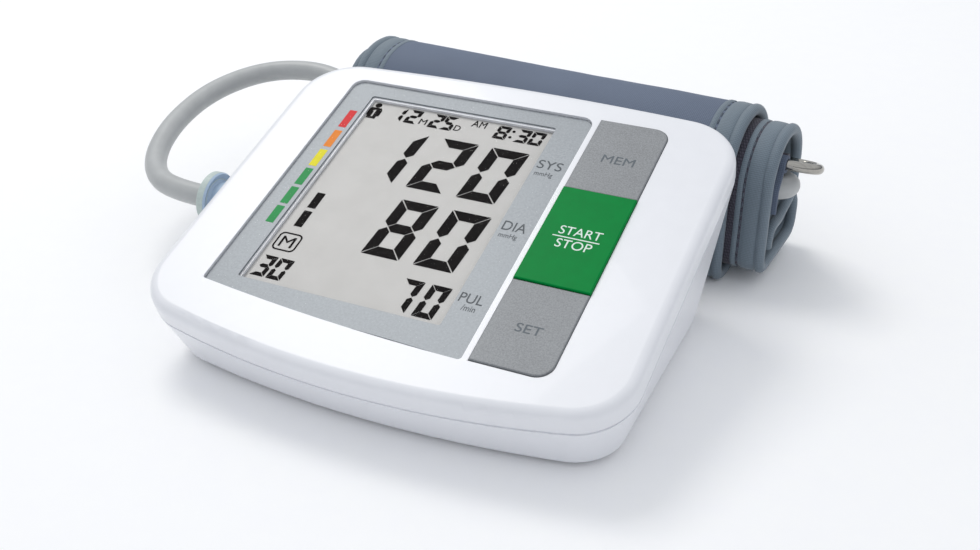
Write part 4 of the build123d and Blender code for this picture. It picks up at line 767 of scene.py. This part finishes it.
for side, label in ((1, "right"), (-1, "left")):
    tape = wrap(f"edge_tape_{label}", stations, lambda station, side=side: taped(side, station[4]), 0.4)
    dress(tape, BINDING_TAPE, "cuff")
    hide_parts(f"flap_binding_{label}", f"body_binding_{label}")

# one stitch, a short thread with sunk ends, is modelled once and copied round both edges, face and back
bpy.ops.object.select_all(action="DESELECT")
bpy.ops.mesh.primitive_uv_sphere_add(segments=8, ring_count=5, radius=1.0)
pattern = bpy.context.view_layer.objects.active
pattern.data.transform(Matrix.Diagonal((0.3, 1.25, 0.28, 1)))
STITCH_PITCH = 3.3
rows_of = along(SPIRAL, SPIRAL_RADII, STITCH_PITCH)
for side, label in ((1, "right"), (-1, "left")):
    copies = []
    for b, z, nb, nz, s in rows_of[1:-1]:
        left, right = ends(s)
        edge = right if side > 0 else left
        for face in (1, -1):
            copy = bpy.data.objects.new("stitch", pattern.data.copy())
            scene.collection.objects.link(copy)
            reach = 1.25 * face
            origin = in_roll(edge - side * 8.9, b + nb * reach, z + nz * reach)
            x_way = (in_roll(1, 0, 0) - in_roll(0, 0, 0)).normalized()
            up = (in_roll(0, nb, nz) - in_roll(0, 0, 0)).normalized() * face
            turned = Matrix((x_way, up.cross(x_way), up)).transposed().to_4x4()
            turned = turned @ Matrix.Rotation(random.uniform(-0.06, 0.06), 4, "Z")
            copy.data.transform(Matrix.Translation(origin) @ turned @ Matrix.Scale(MM, 4))
            copies.append(copy)
    row = joined(f"edge_stitches_{label}", copies)
    bpy.ops.object.shade_smooth()
    dress(row, THREAD, "cuff")
bpy.data.objects.remove(pattern)

# air bladder between the cloths, and the hook tape inside the free end
BLADDER = [
    (11.0, INNER_LOW), (-INNER_FRONT, INNER_LOW), (-INNER_FRONT, INNER_TOP), (INNER_FRONT, INNER_TOP),
    (INNER_FRONT, 30.0),
]
bladder = wrap(
    "air_bladder", along(BLADDER, SPIRAL_RADII[4:7], 3.0),
    lambda station: [(-65.0 + 134.5 * i / 40, -0.35 - 0.2 * math.sin(math.pi * i / 40), 134.5 * i / 40)
                     for i in range(41)], 0.4,
)
dress(bladder, BLADDER_FILM, "cuff")
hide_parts("cuff_bladder")
hook = wrap(
    "hook_tape", along([(12.0, 3.7), (-4.0, 3.7)], [], 0.8),
    lambda station: [(-50.0 + 0.8 * i, 0.25 * (i % 2) * (round(station[4] / 0.8) % 2), 0.8 * i)
                     for i in range(126)], 0.5,
)
dress(hook, HOOKS, "cuff")
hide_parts("hook_patch")

# tunnel of cloth that holds the ring's front bar, sewn to the roll's inner wall
WALL_B, TUNNEL_R = -13.6, 2.45
strap = [(WALL_B, BAR_Z - 15.0), (WALL_B, BAR_Z - 7.0), (BAR_B - 2.6, BAR_Z - 1.0)]
around = arc((BAR_B, BAR_Z), TUNNEL_R, 195, -150, 34)
tunnel_line = along(strap + around, [2.0] + [0.2] * (len(around) - 1), 0.9)
tunnel = wrap(
    "ring_tunnel_cloth", tunnel_line,
    lambda station: [(-58.0 + 144.0 * i / 72, 0.12 * noise.noise(Vector((i / 4.0, station[4] / 5.0, 1.0))),
                      144.0 * i / 72) for i in range(73)], 0.9,
)
dress(tunnel, COVER_CLOTH, "cuff")
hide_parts("ring_tunnel")

# sleeve of mesh round the ring's rear bar
SLEEVE_R = 2.35
sleeve = wrap(
    "ring_sleeve_cloth", along(arc((REAR_BAR_B, REAR_BAR_Z), SLEEVE_R, 20, 379, 36), [0.2] * 35, 0.7),
    lambda station: [(-58.0 + 141.0 * i / 60, 0.14 * noise.noise(Vector((i / 3.0, station[4] / 4.0, 5.0))),
                      141.0 * i / 60) for i in range(61)], 0.7,
)
dress(sleeve, LINING_MESH, "cuff_ring")
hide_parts("ring_sleeve")

# ------------------------------------------------------------------ floor and light
bpy.ops.object.select_all(action="DESELECT")
bpy.ops.mesh.primitive_plane_add(size=6.0, location=(0, 0, 0))
floor = bpy.context.view_layer.objects.active
floor.name = "floor"
floor.data.materials.append(grain("matt_white_paper", "#FDFDFD", "#FCFCFD", 8.0, (0.8, 0.9), 0.0))

scene.view_settings.view_transform = "Standard"
world = bpy.data.worlds.new("studio")
scene.world = world
world.use_nodes = True
# the room is darker near the floor, which gives the ring and the case's sides some contrast
sky = world.node_tree
way = add_node(sky, "ShaderNodeTexCoord", {})
height = add_node(sky, "ShaderNodeSeparateXYZ", {}, {0: way.outputs["Generated"]})
band = add_node(sky, "ShaderNodeValToRGB", {}, {"Fac": height.outputs["Z"]})
band.color_ramp.elements[0].position, band.color_ramp.elements[1].position = 0.02, 0.42
band.color_ramp.elements[0].color = linear("#8E939B")
band.color_ramp.elements[1].color = linear("#F7FAFF")
sky.links.new(band.outputs["Color"], sky.nodes["Background"].inputs["Color"])
sky.nodes["Background"].inputs["Strength"].default_value = 0.83


def soft_box(name, place, size, power, colour):
    """A square area light that faces the object."""
    light = bpy.data.lights.new(name, "AREA")
    light.size, light.energy, light.color = size, power, linear(colour)[:3]
    holder = bpy.data.objects.new(name, light)
    scene.collection.objects.link(holder)
    holder.location = place
    holder.rotation_euler = (Vector((0, 0, 0.03)) - Vector(place)).to_track_quat("-Z", "Y").to_euler()


soft_box("key", (-0.55, 0.35, 1.05), 0.5, 4.6, "#FFFDF8")
